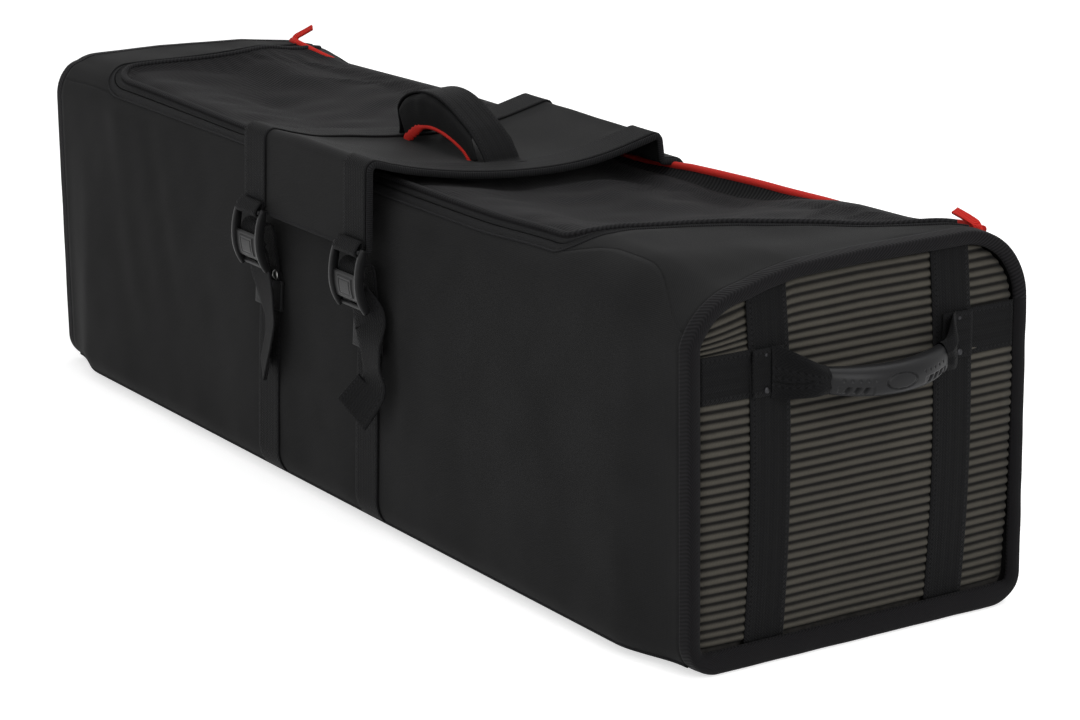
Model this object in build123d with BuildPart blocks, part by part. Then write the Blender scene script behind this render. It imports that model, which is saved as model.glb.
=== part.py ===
"""Long padded hardware bag: a soft box with bound, ribbed ends, a zipped lid that hinges at the
rear top edge, and a stiff saddle flap that comes over the middle and is held down by two buckles."""
from build123d import *
import os
from math import acos, asin, cos, degrees, pi, radians, sin, sqrt

os.makedirs("parts", exist_ok=True)

# Bag, all sizes in millimetres
bag_length = 1120.0  # over the two bound ends
bag_depth = 330.0  # of the ends, front to back
bag_height = 322.0  # of the ends
head_radius = 45.0  # long top edges and upper corners of the ends
foot_radius = 28.0  # long bottom edges and lower corners of the ends
foot_flare = 16.0  # the walls stand out this far at the foot
flare_run = 60.0  # length over which the flare dies away towards each end
wall_bulge = 3.0  # crown of the front and back between foot and shoulder
wall = 9.0  # padded wall: fabric, foam and fabric
front_drop = 6.0  # front shoulder below the top of the ends
rear_drop = 18.0  # rear shoulder below the top of the ends
lid_dish = 18.5  # sag of the lid between its shoulders
lid_rear_sag = 9.0  # sag of the lid's rear edge below the back's shoulder
gusset_crown = 4.0  # rise of the top beside the ends
seat = 0.1  # room between pieces sewn together
room = 0.3  # room between pieces that move apart
overrun = 60.0  # how far a cutter runs past what it cuts

# Webbing
webbing_width = 38.0
webbing = 1.6
strap_distance = 180.0  # between the middles of the two front straps
end_strap_distance = 178.0  # between the middles of the two straps on an end
stitch_lift = 0.6  # extra height of a doubled, stitched patch

# Ends
binding_width = 15.0
binding_foot = 20.0
binding_head = 13.0
binding_reach = 14.0  # length of the binding along the bag
binding_round = 3.0
end_board = 6.0
rib_skin = 3.0
rib_pitch = 7.4
rib_height = 2.4
end_crown = 8.0
band_drop = 84.0  # middle of the horizontal band below the top of the ends

# Lid and zip
lid_thickness = 4.0
lid_front_half = 415.0  # half the lid's front edge, to its sharp corners
lid_rear_half = 540.0  # half the lid's rear edge
lid_corner = 60.0
zip_inset = 10.0  # zip line behind the front of the ends
zip_half = 5.5  # half width of the zip, seen from above
zip_room = 0.6  # each tape stops this far from the zip line
tape = 2.4
tape_depth = 0.8  # tape below the skin's outer face
lid_edge_width = 4.0
lid_edge_lift = 1.5
ridge_inset = 25.0  # ridge of the rear edge, in front of the back of the ends
rear_piping_radius = 3.0
rear_seam = 12.0  # lid's rear edge in front of the ridge
end_tab_height = 14.0
end_tab_width = 10.0
end_tab_thickness = 2.4

# Flap
flap_thickness = 4.0
flap_stand = 8.0  # top of the front drop in front of the ends' plane
flap_drop = 72.0  # height of the front drop
flap_drop_flare = 13.0  # the drop's foot stands out this much further
flap_rise = 2.0  # flap's front fold above the ends
flap_sag = 7.0  # middle of the flap below its rear edge
flap_fold = 8.0
flap_shoulder_inset = 8.0  # sag starts this far behind the lid's front shoulder
flap_edge = 2.5
flap_edge_lift = 0.8
root_drop = 82.0  # height of the flap's part sewn to the back
root_stand = 6.0
root_flare = 5.0  # foot of that part further out

# Buckles
rail_height = 60.0
rail_depth = 11.0
rail_thickness = 5.0
rail_end_depth = 6.0
bar_radius = 2.5
buckle_stand = 6.5  # upper bar in front of the flap's webbing
plate_share = 0.4  # plate's height as a share of the rail's
plate_thickness = 4.0
plate_recess = 0.8
frame_share = 0.72  # raised square frame on the plate
tail_length = 128.0
hem_length = 24.0

# Front patches
patch_width = 48.0
patch_height = 27.0
patch_drop = 134.0  # top of the patches below the top of the ends
stud_radius = 4.5
stud_height = 3.0
stud_spacing = 15.0

# Top handle
top_handle_span = 150.0  # between the middles of its feet
top_handle_rise = 38.0
top_handle_width = 36.0
top_handle_core = 3.0
top_handle_pad = 3.0
top_handle_pad_share = 0.66  # padded part of the arch
top_wrap_middle = 10.0  # lower edge of the wrap above the hinge line
top_wrap_end = 7.0
top_handle_foot = 26.0
top_handle_neck = 10.0  # width of the arch where it leaves its feet
top_handle_offset = 16.0  # handle in front of the bag's middle
top_piping_radius = 1.6

# End handles
grip_half = 58.0  # half the grip's length
grip_bow = 28.0  # grip's middle in front of its pivots
grip_start = 12.0  # grip's ends in front of its pivots
grip_width = 25.0
grip_thickness = 21.0
grip_neck = 13.0
pivot_stand = 14.0  # pivots in front of the end's webbing
pivot_radius = 4.0
pivot_half = 74.0  # half the distance over the pivot pins
loop_length = 11.0
tab_length = 36.0
rivet_radius = 4.0
rivet_height = 1.8
rivet_spacing = 26.0
rivet_sides = 12
rivet_top_share = 0.6
loop_sides = 16
handle_droop = 12.0  # degrees
grip_sides = 16
piping_sides = 6
slot_lean = 25.0  # degrees

# Zip sliders
slider_length = 13.0
slider_width = 10.0
slider_height = 3.4
slider_place = 14.0  # middle of each slider from the middle of the bag
bridge_height = 3.0
pull_length = 26.0
pull_width = 9.0
pull_thickness = 1.6
pull_tilt = 20.0  # degrees
pull_hole_share = 0.8
post_share = 0.7  # the posts stand this share of the slider's length apart

# Lining
lining = 5.0
base_board = 4.0

# Angles of the cross-section, degrees
seam_angle = 45.0

half_length = bag_length / 2
half_depth = bag_depth / 2
body_half = half_length - binding_reach
front_head = bag_height - front_drop
rear_head = bag_height - rear_drop
shoulder_depth = half_depth - head_radius
zip_depth = half_depth - zip_inset
ridge_depth = half_depth - ridge_inset
foot_depth = half_depth + foot_flare
strap_x = strap_distance / 2
band_height = bag_height - band_drop
patch_top = bag_height - patch_drop


def angle_at(depth):
    """Angle on a shoulder's arc, from the horizontal, where the arc is this far from the middle."""
    return degrees(acos((depth - shoulder_depth) / head_radius))


def on_arc(side, centre, radius, angle):
    return (centre[0] + side * radius * cos(radians(angle)), centre[1] + radius * sin(radians(angle)))


def shoulder_centre(side, head):
    return (side * shoulder_depth, head - head_radius)


zip_angle = angle_at(zip_depth)
zip_front_angle = angle_at(zip_depth + zip_half)
ridge_angle = angle_at(ridge_depth)
back_end_angle = angle_at(ridge_depth + rear_piping_radius)


def oval(width, height, sides):
    """Flat-sided ring of points with this many sides."""
    turns = [2 * pi * i / sides for i in range(sides)]
    return [(width / 2 * cos(turn), height / 2 * sin(turn)) for turn in turns]


def finish(item, name):
    item.part.label = name
    export_step(item.part, "parts/" + name + ".step")


# Padded walls

def wall_points(side, flare, head, end_angle, inset):
    """Seven points up one wall: foot corner, wall and shoulder, at a depth under the outer face."""
    foot = (side * (half_depth + flare - foot_radius), foot_radius)
    lower = [on_arc(side, foot, foot_radius - inset, a) for a in (-seam_angle, -seam_angle / 2, 0)]
    shoulder = shoulder_centre(side, head)
    upper = [on_arc(side, shoulder, head_radius - inset, a) for a in (0, end_angle / 2, end_angle)]
    middle = (
        (lower[2][0] + upper[0][0]) / 2 + side * wall_bulge,
        (lower[2][1] + upper[0][1]) / 2,
    )
    return lower + [middle] + upper


def wall_arcs(points):
    ThreePointArc(points[0], points[1], points[2])
    ThreePointArc(points[2], points[3], points[4])
    ThreePointArc(points[4], points[5], points[6])


def wall_layer(side, flare, head, end_angle, lift, thickness):
    """Closed line round a layer of a wall, from this far above its outer face."""
    outer = wall_points(side, flare, head, end_angle, -lift - thickness)
    inner = wall_points(side, flare, head, end_angle, -lift)
    wall_arcs(outer)
    wall_arcs(inner)
    Line(outer[0], inner[0])
    Line(outer[6], inner[6])


flare_stations = (
    (-body_half, 0),
    (-body_half + flare_run, foot_flare),
    (body_half - flare_run, foot_flare),
    (body_half, 0),
)

for wall_name, wall_side, wall_head, wall_end in (
    ("front_panel", -1, front_head, zip_front_angle),
    ("back_panel", 1, rear_head, back_end_angle),
):
    with BuildPart() as wall_panel:
        for station, flare in flare_stations:
            with BuildSketch(Plane.YZ.offset(station)):
                with BuildLine():
                    wall_layer(wall_side, flare, wall_head, wall_end, -wall, wall)
                make_face()
        loft(ruled=True)
    finish(wall_panel, wall_name)


def foot_lines(flare, inset):
    """Bottom line up to the seams in the foot corners, and its two ends."""
    ends = []
    for side in (-1, 1):
        foot = (side * (half_depth + flare - foot_radius), foot_radius)
        angles = (-seam_angle, -(seam_angle + 90) / 2, -90)
        points = [on_arc(side, foot, foot_radius - inset, a) for a in angles]
        ThreePointArc(points[0], points[1], points[2])
        ends.append(points)
    Line(ends[0][2], ends[1][2])
    return ends[0][0], ends[1][0]


with BuildPart() as bottom_panel:
    for station, flare in flare_stations:
        with BuildSketch(Plane.YZ.offset(station)):
            with BuildLine():
                outer_ends = foot_lines(flare, 0)
                inner_ends = foot_lines(flare, wall)
                Line(outer_ends[0], inner_ends[0])
                Line(outer_ends[1], inner_ends[1])
            make_face()
    loft(ruled=True)
finish(bottom_panel, "bottom_panel")

# Stiffening board and foam lining inside the walls
board_half_depth = half_depth - foot_radius
with BuildPart() as bottom_board:
    with BuildSketch(Plane.XY.offset(wall + seat)):
        Rectangle(2 * (body_half - end_board - wall), 2 * board_half_depth)
        fillet(vertices(), radius=foot_radius)
    extrude(amount=base_board)
finish(bottom_board, "bottom_board")

lining_low = foot_radius
lining_high = rear_head - head_radius
for lining_name, lining_side in (("front_lining", -1), ("back_lining", 1)):
    with BuildPart() as wall_lining:
        with BuildSketch(Plane.YZ):
            low_depth = half_depth + foot_flare - wall - seat
            high_depth = half_depth - wall - seat
            with BuildLine():
                Polyline(
                    (lining_side * low_depth, lining_low),
                    (lining_side * high_depth, lining_high),
                    (lining_side * (high_depth - lining), lining_high),
                    (lining_side * (low_depth - lining), lining_low),
                    close=True,
                )
            make_face()
        extrude(amount=body_half - flare_run, both=True)
    finish(wall_lining, lining_name)


# Top: one dished skin, cut into the lid, the zip tapes and the gussets beside the ends

lid_rear = ridge_depth - rear_seam
end_rear_level = rear_head - head_radius + sqrt(head_radius**2 - (lid_rear - shoulder_depth) ** 2)


def skin_lines(middle, rear_level, depth):
    """Line across the top at a depth under its outer face, and its two ends."""
    front = shoulder_centre(-1, front_head)
    radius = head_radius - depth
    start = on_arc(-1, front, radius, zip_front_angle)
    rise = on_arc(-1, front, radius, (zip_front_angle + 90) / 2)
    front_top = (-shoulder_depth, front_head - depth)
    stop = (lid_rear, rear_level - depth)
    ThreePointArc(start, rise, front_top)
    ThreePointArc(front_top, (0, middle - depth), stop)
    return start, stop


flat_middle = (front_head + rear_head) / 2
dish_stations = (
    (-body_half, flat_middle + gusset_crown, end_rear_level),
    (-lid_front_half, flat_middle - lid_dish, end_rear_level - lid_rear_sag),
    (lid_front_half, flat_middle - lid_dish, end_rear_level - lid_rear_sag),
    (body_half, flat_middle + gusset_crown, end_rear_level),
)


def top_skin(inset, thickness):
    """Layer of the dished top, from end to end."""
    sections = []
    for station, middle, rear_level in dish_stations:
        with BuildSketch(Plane.YZ.offset(station)) as section:
            with BuildLine():
                outer_ends = skin_lines(middle, rear_level, inset)
                inner_ends = skin_lines(middle, rear_level, inset + thickness)
                Line(outer_ends[0], inner_ends[0])
                Line(outer_ends[1], inner_ends[1])
            make_face()
        sections.append(section.sketch.faces()[0])
    loft(sections, ruled=True)


def lid_outline(grow):
    """The lid seen from above: straight front, rounded corners and ends that slant to the rear."""
    slant = (lid_rear_half - lid_front_half) / (ridge_depth + zip_depth)
    back = half_depth + overrun
    back_half = lid_front_half + slant * (back + zip_depth)
    with BuildSketch(Plane.XY) as outline:
        Polygon(
            (-lid_front_half, -zip_depth),
            (lid_front_half, -zip_depth),
            (back_half, back),
            (-back_half, back),
            align=None,
        )
        fillet(outline.vertices().group_by(Axis.Y)[0], radius=lid_corner)
        offset(amount=grow)
    return outline.sketch


with BuildPart() as lid_panel:
    top_skin(0, lid_thickness)
    extrude(lid_outline(-zip_half), amount=2 * bag_height, mode=Mode.INTERSECT)
finish(lid_panel, "lid_panel")

with BuildPart() as lid_zip_tape:
    top_skin(tape_depth, tape)
    extrude(lid_outline(-zip_room), amount=2 * bag_height, mode=Mode.INTERSECT)
    extrude(lid_outline(-zip_half + seat), amount=2 * bag_height, mode=Mode.SUBTRACT)
finish(lid_zip_tape, "lid_zip_tape")

with BuildPart() as body_zip_tape:
    top_skin(tape_depth, tape)
    extrude(lid_outline(zip_half - seat), amount=2 * bag_height, mode=Mode.INTERSECT)
    extrude(lid_outline(zip_room), amount=2 * bag_height, mode=Mode.SUBTRACT)
finish(body_zip_tape, "body_zip_tape")

with BuildPart() as lid_piping:
    top_skin(-lid_edge_lift - seat, lid_edge_lift)
    extrude(lid_outline(-zip_half), amount=2 * bag_height, mode=Mode.INTERSECT)
    extrude(lid_outline(-zip_half - lid_edge_width), amount=2 * bag_height, mode=Mode.SUBTRACT)
finish(lid_piping, "lid_piping")

for gusset_name, gusset_side in (("left_top_gusset", -1), ("right_top_gusset", 1)):
    with BuildPart() as top_gusset:
        top_skin(0, lid_thickness)
        with BuildSketch(Plane.XY):
            with Locations((gusset_side * half_length, 0)):
                Rectangle(2 * (half_length - lid_front_half + lid_corner), 2 * bag_depth)
        extrude(amount=2 * bag_height, mode=Mode.INTERSECT)
        extrude(lid_outline(zip_half + seat), amount=2 * bag_height, mode=Mode.SUBTRACT)
    finish(top_gusset, gusset_name)

# Rear edge: red piping along the ridge, hinge tape in front of it and a tab at each end
rear_centre = shoulder_centre(1, rear_head)
piping_centre = on_arc(1, rear_centre, head_radius + seat, ridge_angle)
piping_top = piping_centre[1] + rear_piping_radius

with BuildPart() as rear_piping:
    with BuildSketch(Plane.YZ):
        with Locations(piping_centre):
            Circle(rear_piping_radius)
    extrude(amount=body_half - lid_thickness, both=True)
finish(rear_piping, "rear_piping")

with BuildPart() as hinge_tape:
    for station, middle, rear_level in dish_stations:
        with BuildSketch(Plane.YZ.offset(station)):
            near = lid_rear + room
            far = ridge_depth - rear_piping_radius - seat
            with BuildLine():
                Polyline(
                    (near, rear_level - tape_depth),
                    (far, piping_centre[1] + tape / 2),
                    (far, piping_centre[1] - tape / 2),
                    (near, rear_level - tape_depth - tape),
                    close=True,
                )
            make_face()
    loft(ruled=True)
finish(hinge_tape, "hinge_tape")

with BuildPart() as rear_tabs:
    for tab_side in (-1, 1):
        tab_x = tab_side * (body_half - end_tab_width)
        tab_base = piping_top + 3 * room
        with BuildSketch(Plane.XZ.offset(-piping_centre[0])):
            with BuildLine():
                Polyline(
                    (tab_x, tab_base),
                    (tab_x + tab_side * end_tab_thickness / 2, tab_base + end_tab_height / 2),
                    (tab_x - tab_side * end_tab_width / 2, tab_base + end_tab_height),
                )
            trace(line_width=end_tab_thickness)
        extrude(amount=end_tab_width / 2, both=True)
finish(rear_tabs, "rear_tabs")


# Ends

def end_outline(x, sides, low, high):
    """Rounded outline of an end, drawn in from its outer line."""
    height = bag_height - low - high
    with BuildSketch(Plane.YZ.offset(x)) as outline:
        with Locations((0, low + height / 2)):
            Rectangle(bag_depth - 2 * sides, height)
        fillet(outline.vertices().group_by(Axis.Y)[-1], radius=head_radius - sides)
        fillet(outline.vertices().group_by(Axis.Y)[0], radius=foot_radius - sides)
    return outline.sketch


rib_low = binding_foot + seat
rib_high = bag_height - binding_head - seat
rib_middle = (rib_low + rib_high) / 2
rib_half = (rib_high - rib_low) / 2
rib_count = int(2 * rib_half / rib_pitch)
crown_radius = (rib_half**2 + end_crown**2) / (2 * end_crown)
rib_base = body_half + rib_skin
rib_shares = ((0, 0), (0.28, 0.92), (0.72, 0.92))  # place across a rib, and rise
band_low = band_height - webbing_width / 2
band_high = band_height + webbing_width / 2


def crown_at(z, lift):
    """Distance of the crowned end from the middle of the bag, at a height and a lift above its skin."""
    return rib_base + lift + end_crown - crown_radius + sqrt(crown_radius**2 - (z - rib_middle) ** 2)


def crown_strip(side, low, high, lift, thickness):
    """Closed line round a flat strip that lies on the crowned, ribbed end."""
    corners = []
    for level in (lift, lift + thickness):
        line = [(side * crown_at(z, level), z) for z in (low, (low + high) / 2, high)]
        ThreePointArc(line[0], line[1], line[2])
        corners.append(line)
    Line(corners[0][0], corners[1][0])
    Line(corners[0][2], corners[1][2])


for end_name, end_side in (("left", -1), ("right", 1)):
    with BuildPart() as end_panel:
        board_outline = end_outline(end_side * body_half, wall + seat, wall + seat, rear_drop + wall + seat)
        extrude(board_outline, amount=-end_side * end_board)
    finish(end_panel, end_name + "_end_panel")

    with BuildPart() as end_ribs:
        with BuildSketch(Plane.XZ):
            with BuildLine():
                grooves = [rib_low + i * 2 * rib_half / rib_count for i in range(rib_count + 1)]
                outline = []
                for low in grooves[:-1]:
                    for across, rise in rib_shares:
                        height = low + across * (grooves[1] - grooves[0])
                        outline.append((end_side * crown_at(height, rise * rib_height), height))
                Polyline(*outline, (end_side * crown_at(rib_high, 0), rib_high))
                Polyline(
                    (end_side * crown_at(rib_high, 0), rib_high),
                    (end_side * body_half, rib_high),
                    (end_side * body_half, rib_low),
                    (end_side * crown_at(rib_low, 0), rib_low),
                )
            make_face()
        extrude(amount=half_depth, both=True)
        inside_binding = end_outline(end_side * body_half, binding_width + seat, binding_foot, binding_head)
        extrude(inside_binding, amount=overrun, both=True, mode=Mode.INTERSECT)
    finish(end_ribs, end_name + "_end_ribs")

    with BuildPart() as end_binding:
        extrude(end_outline(end_side * body_half, 0, 0, 0), amount=end_side * binding_reach)
        rim = end_binding.faces().sort_by(Axis.X)[-1 if end_side > 0 else 0]
        chamfer(rim.outer_wire().edges(), length=binding_round)
        opening = end_outline(end_side * body_half, binding_width, binding_foot, binding_head)
        extrude(opening, amount=overrun, both=True, mode=Mode.SUBTRACT)
    finish(end_binding, end_name + "_end_binding")

    for strap_name, strap_side in (("front", -1), ("rear", 1)):
        with BuildPart() as end_strap:
            with BuildSketch(Plane.XZ.offset(-strap_side * end_strap_distance / 2)):
                with BuildLine():
                    crown_strip(end_side, rib_low + seat, rib_high - seat, rib_height + seat, webbing)
                make_face()
            extrude(amount=webbing_width / 2, both=True)
        finish(end_strap, end_name + "_end_strap_" + strap_name)

    with BuildPart() as end_band:
        for band_side in (-1, 1):
            inner = end_strap_distance / 2 + webbing_width / 2 + seat
            outer = half_depth - binding_width - seat
            with BuildSketch(Plane.XZ.offset(-band_side * (inner + outer) / 2)):
                with BuildLine():
                    crown_strip(end_side, band_low, band_high, rib_height + seat, webbing)
                make_face()
            extrude(amount=(outer - inner) / 2, both=True)
    finish(end_band, end_name + "_end_band")

# End handles: riveted webbing tabs with loops, a rolled core that turns in them, and a moulded grip
strap_face = crown_at(band_height, rib_height + seat + webbing)
pivot_x = strap_face + pivot_stand
loop_outer = pivot_radius + room + webbing
loop_middle = pivot_half - loop_length / 2 - webbing
crown_lean = asin((band_height - rib_middle) / crown_radius)
droop = radians(handle_droop)


def grip_point(side, distance, out):
    """A point of the drooping handle: its place along the bag's depth, and how far it stands out."""
    return (side * (pivot_x + out * cos(droop)), distance, band_height - out * sin(droop))


def grip_out(distance):
    """How far the grip's middle line stands out at a distance from its middle: one arc."""
    rise = grip_bow - grip_start
    bend = (grip_half**2 + rise**2) / (2 * rise)
    return grip_bow - bend + sqrt(bend**2 - distance**2)


grip_station_shares = (-1.0, -0.86, -0.6, -0.3, 0.0, 0.3, 0.6, 0.86, 1.0)
grip_size_shares = (0.62, 0.8, 0.94, 1.0, 1.0, 1.0, 0.94, 0.8, 0.62)
slot_place_shares = (0.5, 0.62, 0.74)
slot_share = 0.14
slot_length_share = 0.6
oval_share = 0.34

for end_name, end_side in (("left", -1), ("right", 1)):
    with BuildPart() as handle_tabs:
        for tab_side in (-1, 1):
            tab_middle = tab_side * end_strap_distance / 2
            with BuildSketch(Plane.XZ.offset(-tab_middle)):
                with BuildLine():
                    crown_strip(end_side, band_low, band_high, rib_height + 2 * seat + webbing, webbing)
                make_face()
            extrude(amount=tab_length / 2, both=True)
            with BuildSketch(Plane.XZ.offset(-tab_side * loop_middle)):
                with Locations((end_side * pivot_x, band_height)):
                    RegularPolygon(loop_outer, loop_sides)
                leaf_start = strap_face + seat
                leaf_end = pivot_x - pivot_radius - room
                with Locations((end_side * (leaf_start + leaf_end) / 2, band_height)):
                    Rectangle(leaf_end - leaf_start, 2 * webbing)
                with Locations((end_side * pivot_x, band_height)):
                    RegularPolygon(pivot_radius + room, loop_sides, mode=Mode.SUBTRACT)
            extrude(amount=loop_length / 2, both=True)
    finish(handle_tabs, end_name + "_handle_tabs")

    with BuildPart() as handle_rivets:
        rivet_face = Plane(
            origin=(end_side * (strap_face + webbing + 3 * seat), 0, band_height),
            x_dir=(0, 1, 0),
            z_dir=(end_side * cos(crown_lean), 0, sin(crown_lean)),
        )
        for place in GridLocations(end_strap_distance, rivet_spacing, 2, 2):
            for level, share in ((0, 1), (rivet_height, rivet_top_share)):
                with BuildSketch(rivet_face.offset(level)):
                    with Locations(place):
                        RegularPolygon(share * rivet_radius, rivet_sides)
            loft(ruled=True)
    finish(handle_rivets, end_name + "_handle_rivets")

    with BuildPart() as handle_core:
        for pin_side in (-1, 1):
            pin_plane = Plane(origin=(end_side * pivot_x, 0, band_height), z_dir=(0, pin_side, 0))
            pin_start = grip_half + webbing
            with BuildSketch(pin_plane.offset(pin_start)):
                Polygon(*oval(2 * pivot_radius, 2 * pivot_radius, grip_sides), align=None)
            extrude(amount=pivot_half - pin_start)
            neck_end = grip_point(end_side, pin_side * (grip_half + seat), grip_out(grip_half))
            neck_plane = Plane(origin=neck_end, z_dir=(0, pin_side, 0))
            with BuildSketch(neck_plane):
                Polygon(*oval(grip_neck - 2 * webbing, grip_neck - 2 * webbing, grip_sides), align=None)
            with BuildSketch(pin_plane.offset(pin_start)):
                Polygon(*oval(2 * pivot_radius, 2 * pivot_radius, grip_sides), align=None)
            loft(ruled=True)
    finish(handle_core, end_name + "_handle_core")

    with BuildPart() as handle_grip:
        for place, size in zip(grip_station_shares, grip_size_shares):
            distance = place * grip_half
            middle = grip_point(end_side, distance, grip_out(distance))
            with BuildSketch(Plane(origin=middle, z_dir=(0, 1, 0))):
                Polygon(*oval(size * grip_thickness, size * grip_width, grip_sides), align=None)
        loft(ruled=True)
        top = grip_point(end_side, 0, grip_bow + grip_thickness / 2)
        face = Plane(origin=top, x_dir=(0, 1, 0), z_dir=(end_side * cos(droop), 0, -sin(droop)))
        with BuildSketch(face.offset(-plate_recess)):
            inset_length = oval_share * grip_half
            inset_width = 2 * oval_share * grip_width
            Polygon(*oval(inset_length, inset_width, grip_sides), align=None)
            Polygon(
                *oval(inset_length - 2 * plate_recess, inset_width - 2 * plate_recess, grip_sides),
                align=None,
                mode=Mode.SUBTRACT,
            )
        extrude(amount=overrun, mode=Mode.SUBTRACT)
        for slot_side in (-1, 1):
            with BuildSketch(face.offset(-grip_thickness * slot_share * 2)):
                for place in slot_place_shares:
                    with Locations((slot_side * grip_half * place, 0)):
                        Rectangle(
                            grip_width * slot_share,
                            grip_width * slot_length_share,
                            rotation=-slot_side * slot_lean,
                        )
            extrude(amount=overrun, mode=Mode.SUBTRACT)
    finish(handle_grip, end_name + "_handle_grip")

# Front and back straps, sewn down the walls, and the doubled patches at their heads


strap_low = foot_radius * (1 - sin(radians(seam_angle)))
root_foot = piping_top - root_drop
for strap_name, strap_place in (("left", -strap_x), ("right", strap_x)):
    with BuildPart() as front_strap:
        with BuildSketch(Plane.YZ.offset(strap_place)):
            with BuildLine():
                wall_layer(-1, foot_flare, front_head, zip_front_angle, seat, webbing)
            make_face()
            with Locations((-foot_depth, (strap_low + patch_top) / 2)):
                Rectangle(bag_depth, patch_top - strap_low, mode=Mode.INTERSECT)
        extrude(amount=webbing_width / 2, both=True)
    finish(front_strap, strap_name + "_front_strap")

    with BuildPart() as strap_patch:
        with BuildSketch(Plane.YZ.offset(strap_place)):
            with BuildLine():
                patch_lift = webbing + 2 * seat
                wall_layer(-1, foot_flare, front_head, zip_front_angle, patch_lift, webbing + stitch_lift)
            make_face()
            with Locations((-foot_depth, patch_top - patch_height / 2)):
                Rectangle(bag_depth, patch_height, mode=Mode.INTERSECT)
        extrude(amount=patch_width / 2, both=True)
    finish(strap_patch, strap_name + "_strap_patch")

    with BuildPart() as back_strap:
        with BuildSketch(Plane.YZ.offset(strap_place)):
            with BuildLine():
                wall_layer(1, foot_flare, rear_head, zip_front_angle, seat, webbing)
            make_face()
            with Locations((foot_depth, (strap_low + root_foot) / 2)):
                Rectangle(bag_depth, root_foot - strap_low - 2 * webbing, mode=Mode.INTERSECT)
        extrude(amount=webbing_width / 2, both=True)
    finish(back_strap, strap_name + "_back_strap")

# Flap: a panel that sags over the lid, folds down at the front and ends at the ridge
flap_under = piping_top + room + flap_edge_lift / 2
pivot_depth = ridge_depth + room + seat
flap_front = half_depth + flap_stand
flap_top = bag_height + flap_rise
flap_rear_level = flap_under + flap_thickness / 2
flap_shoulder_depth = shoulder_depth - flap_shoulder_inset


def flap_line(lift):
    """Middle line of a layer of the flap, this far above the middle of the panel."""
    rear = (pivot_depth - room - seat, flap_rear_level + lift)
    sag = (0, flap_rear_level - flap_sag + lift)
    shoulder = (-flap_shoulder_depth, flap_top - flap_thickness / 2 - flap_rise + lift)
    corner = (-flap_front - lift + flap_thickness / 2, flap_top - flap_thickness / 2 + lift)
    foot = (corner[0] - flap_drop_flare, flap_top - flap_drop)
    return rear, sag, shoulder, corner, foot


def flap_path(lift):
    rear, sag, shoulder, corner, foot = flap_line(lift)
    ThreePointArc(rear, sag, shoulder)
    FilletPolyline(shoulder, corner, foot, radius=flap_fold + lift)


flap_half = strap_x + webbing_width / 2 + seat + flap_edge
with BuildPart() as flap_panel:
    with BuildSketch(Plane.YZ):
        with BuildLine():
            flap_path(0)
        trace(line_width=flap_thickness)
    extrude(amount=strap_x + webbing_width / 2, both=True)
finish(flap_panel, "flap_panel")

with BuildPart() as flap_binding:
    for edge_side in (-1, 1):
        with BuildSketch(Plane.YZ.offset(edge_side * (flap_half - flap_edge / 2))):
            with BuildLine():
                flap_path(0)
            trace(line_width=flap_thickness + flap_edge_lift)
        extrude(amount=flap_edge / 2, both=True)
finish(flap_binding, "flap_binding")

flap_strap_lift = flap_thickness / 2 + webbing / 2 + room
upper_bar = (flap_line(flap_strap_lift)[4][0] - buckle_stand, flap_top - flap_drop + webbing)
bar_loop = bar_radius + room + webbing
for strap_name, strap_place in (("left", -strap_x), ("right", strap_x)):
    with BuildPart() as flap_strap:
        with BuildSketch(Plane.YZ.offset(strap_place)):
            with BuildLine():
                flap_path(flap_strap_lift)
            trace(line_width=webbing)
            foot = flap_line(flap_strap_lift)[4]
            with BuildLine():
                Line((foot[0], foot[1] + webbing), (upper_bar[0] + bar_loop - webbing / 2, upper_bar[1]))
            trace(line_width=webbing)
            with Locations(upper_bar):
                RegularPolygon(bar_loop, loop_sides)
                RegularPolygon(bar_radius + room, loop_sides, mode=Mode.SUBTRACT)
        extrude(amount=webbing_width / 2, both=True)
    finish(flap_strap, strap_name + "_flap_strap")

# Root of the flap: from the ridge over the rear fold and down the back
root_back = half_depth + root_stand
with BuildPart() as flap_root:
    with BuildSketch(Plane.YZ):
        with BuildLine():
            FilletPolyline(
                (pivot_depth + room + seat, flap_rear_level),
                (root_back - flap_thickness, flap_rear_level - flap_thickness),
                (root_back + root_flare, root_foot),
                radius=flap_fold,
            )
        trace(line_width=flap_thickness)
    extrude(amount=flap_half, both=True)
finish(flap_root, "flap_root")

# Buckles: side rails, upper bar, plate, inner bar and lower bar, with the strap that runs through
plate_height = plate_share * rail_height
plate_level = upper_bar[1] - rail_height * plate_share
plate_depth = upper_bar[0] - rail_depth / 2
lower_bar = (upper_bar[0] - bar_radius, upper_bar[1] - rail_height + 2 * bar_radius)
inner_bar = (upper_bar[0] + 2 * bar_radius, plate_level - plate_height / 4)
slot_half = webbing_width / 2 + room + seat
strap_gap = bar_radius + seat + webbing / 2


def rail_outline():
    """Closed line round a side rail: a bowed front and a nearly straight back."""
    top = upper_bar[1] + bar_radius + seat
    low = upper_bar[1] - rail_height + bar_radius
    half = rail_end_depth / 2
    middle = (top + low) / 2
    front_low = upper_bar[0] - half - bar_radius
    rear_low = upper_bar[0] + bar_radius - half / 2
    ThreePointArc((upper_bar[0] - half, top), (upper_bar[0] - rail_depth, middle), (front_low, low))
    Line((front_low, low), (rear_low, low))
    rail_rear = (upper_bar[0] + half + bar_radius, inner_bar[1])
    ThreePointArc((rear_low, low), rail_rear, (upper_bar[0] + half, top))
    Line((upper_bar[0] + half, top), (upper_bar[0] - half, top))


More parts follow.
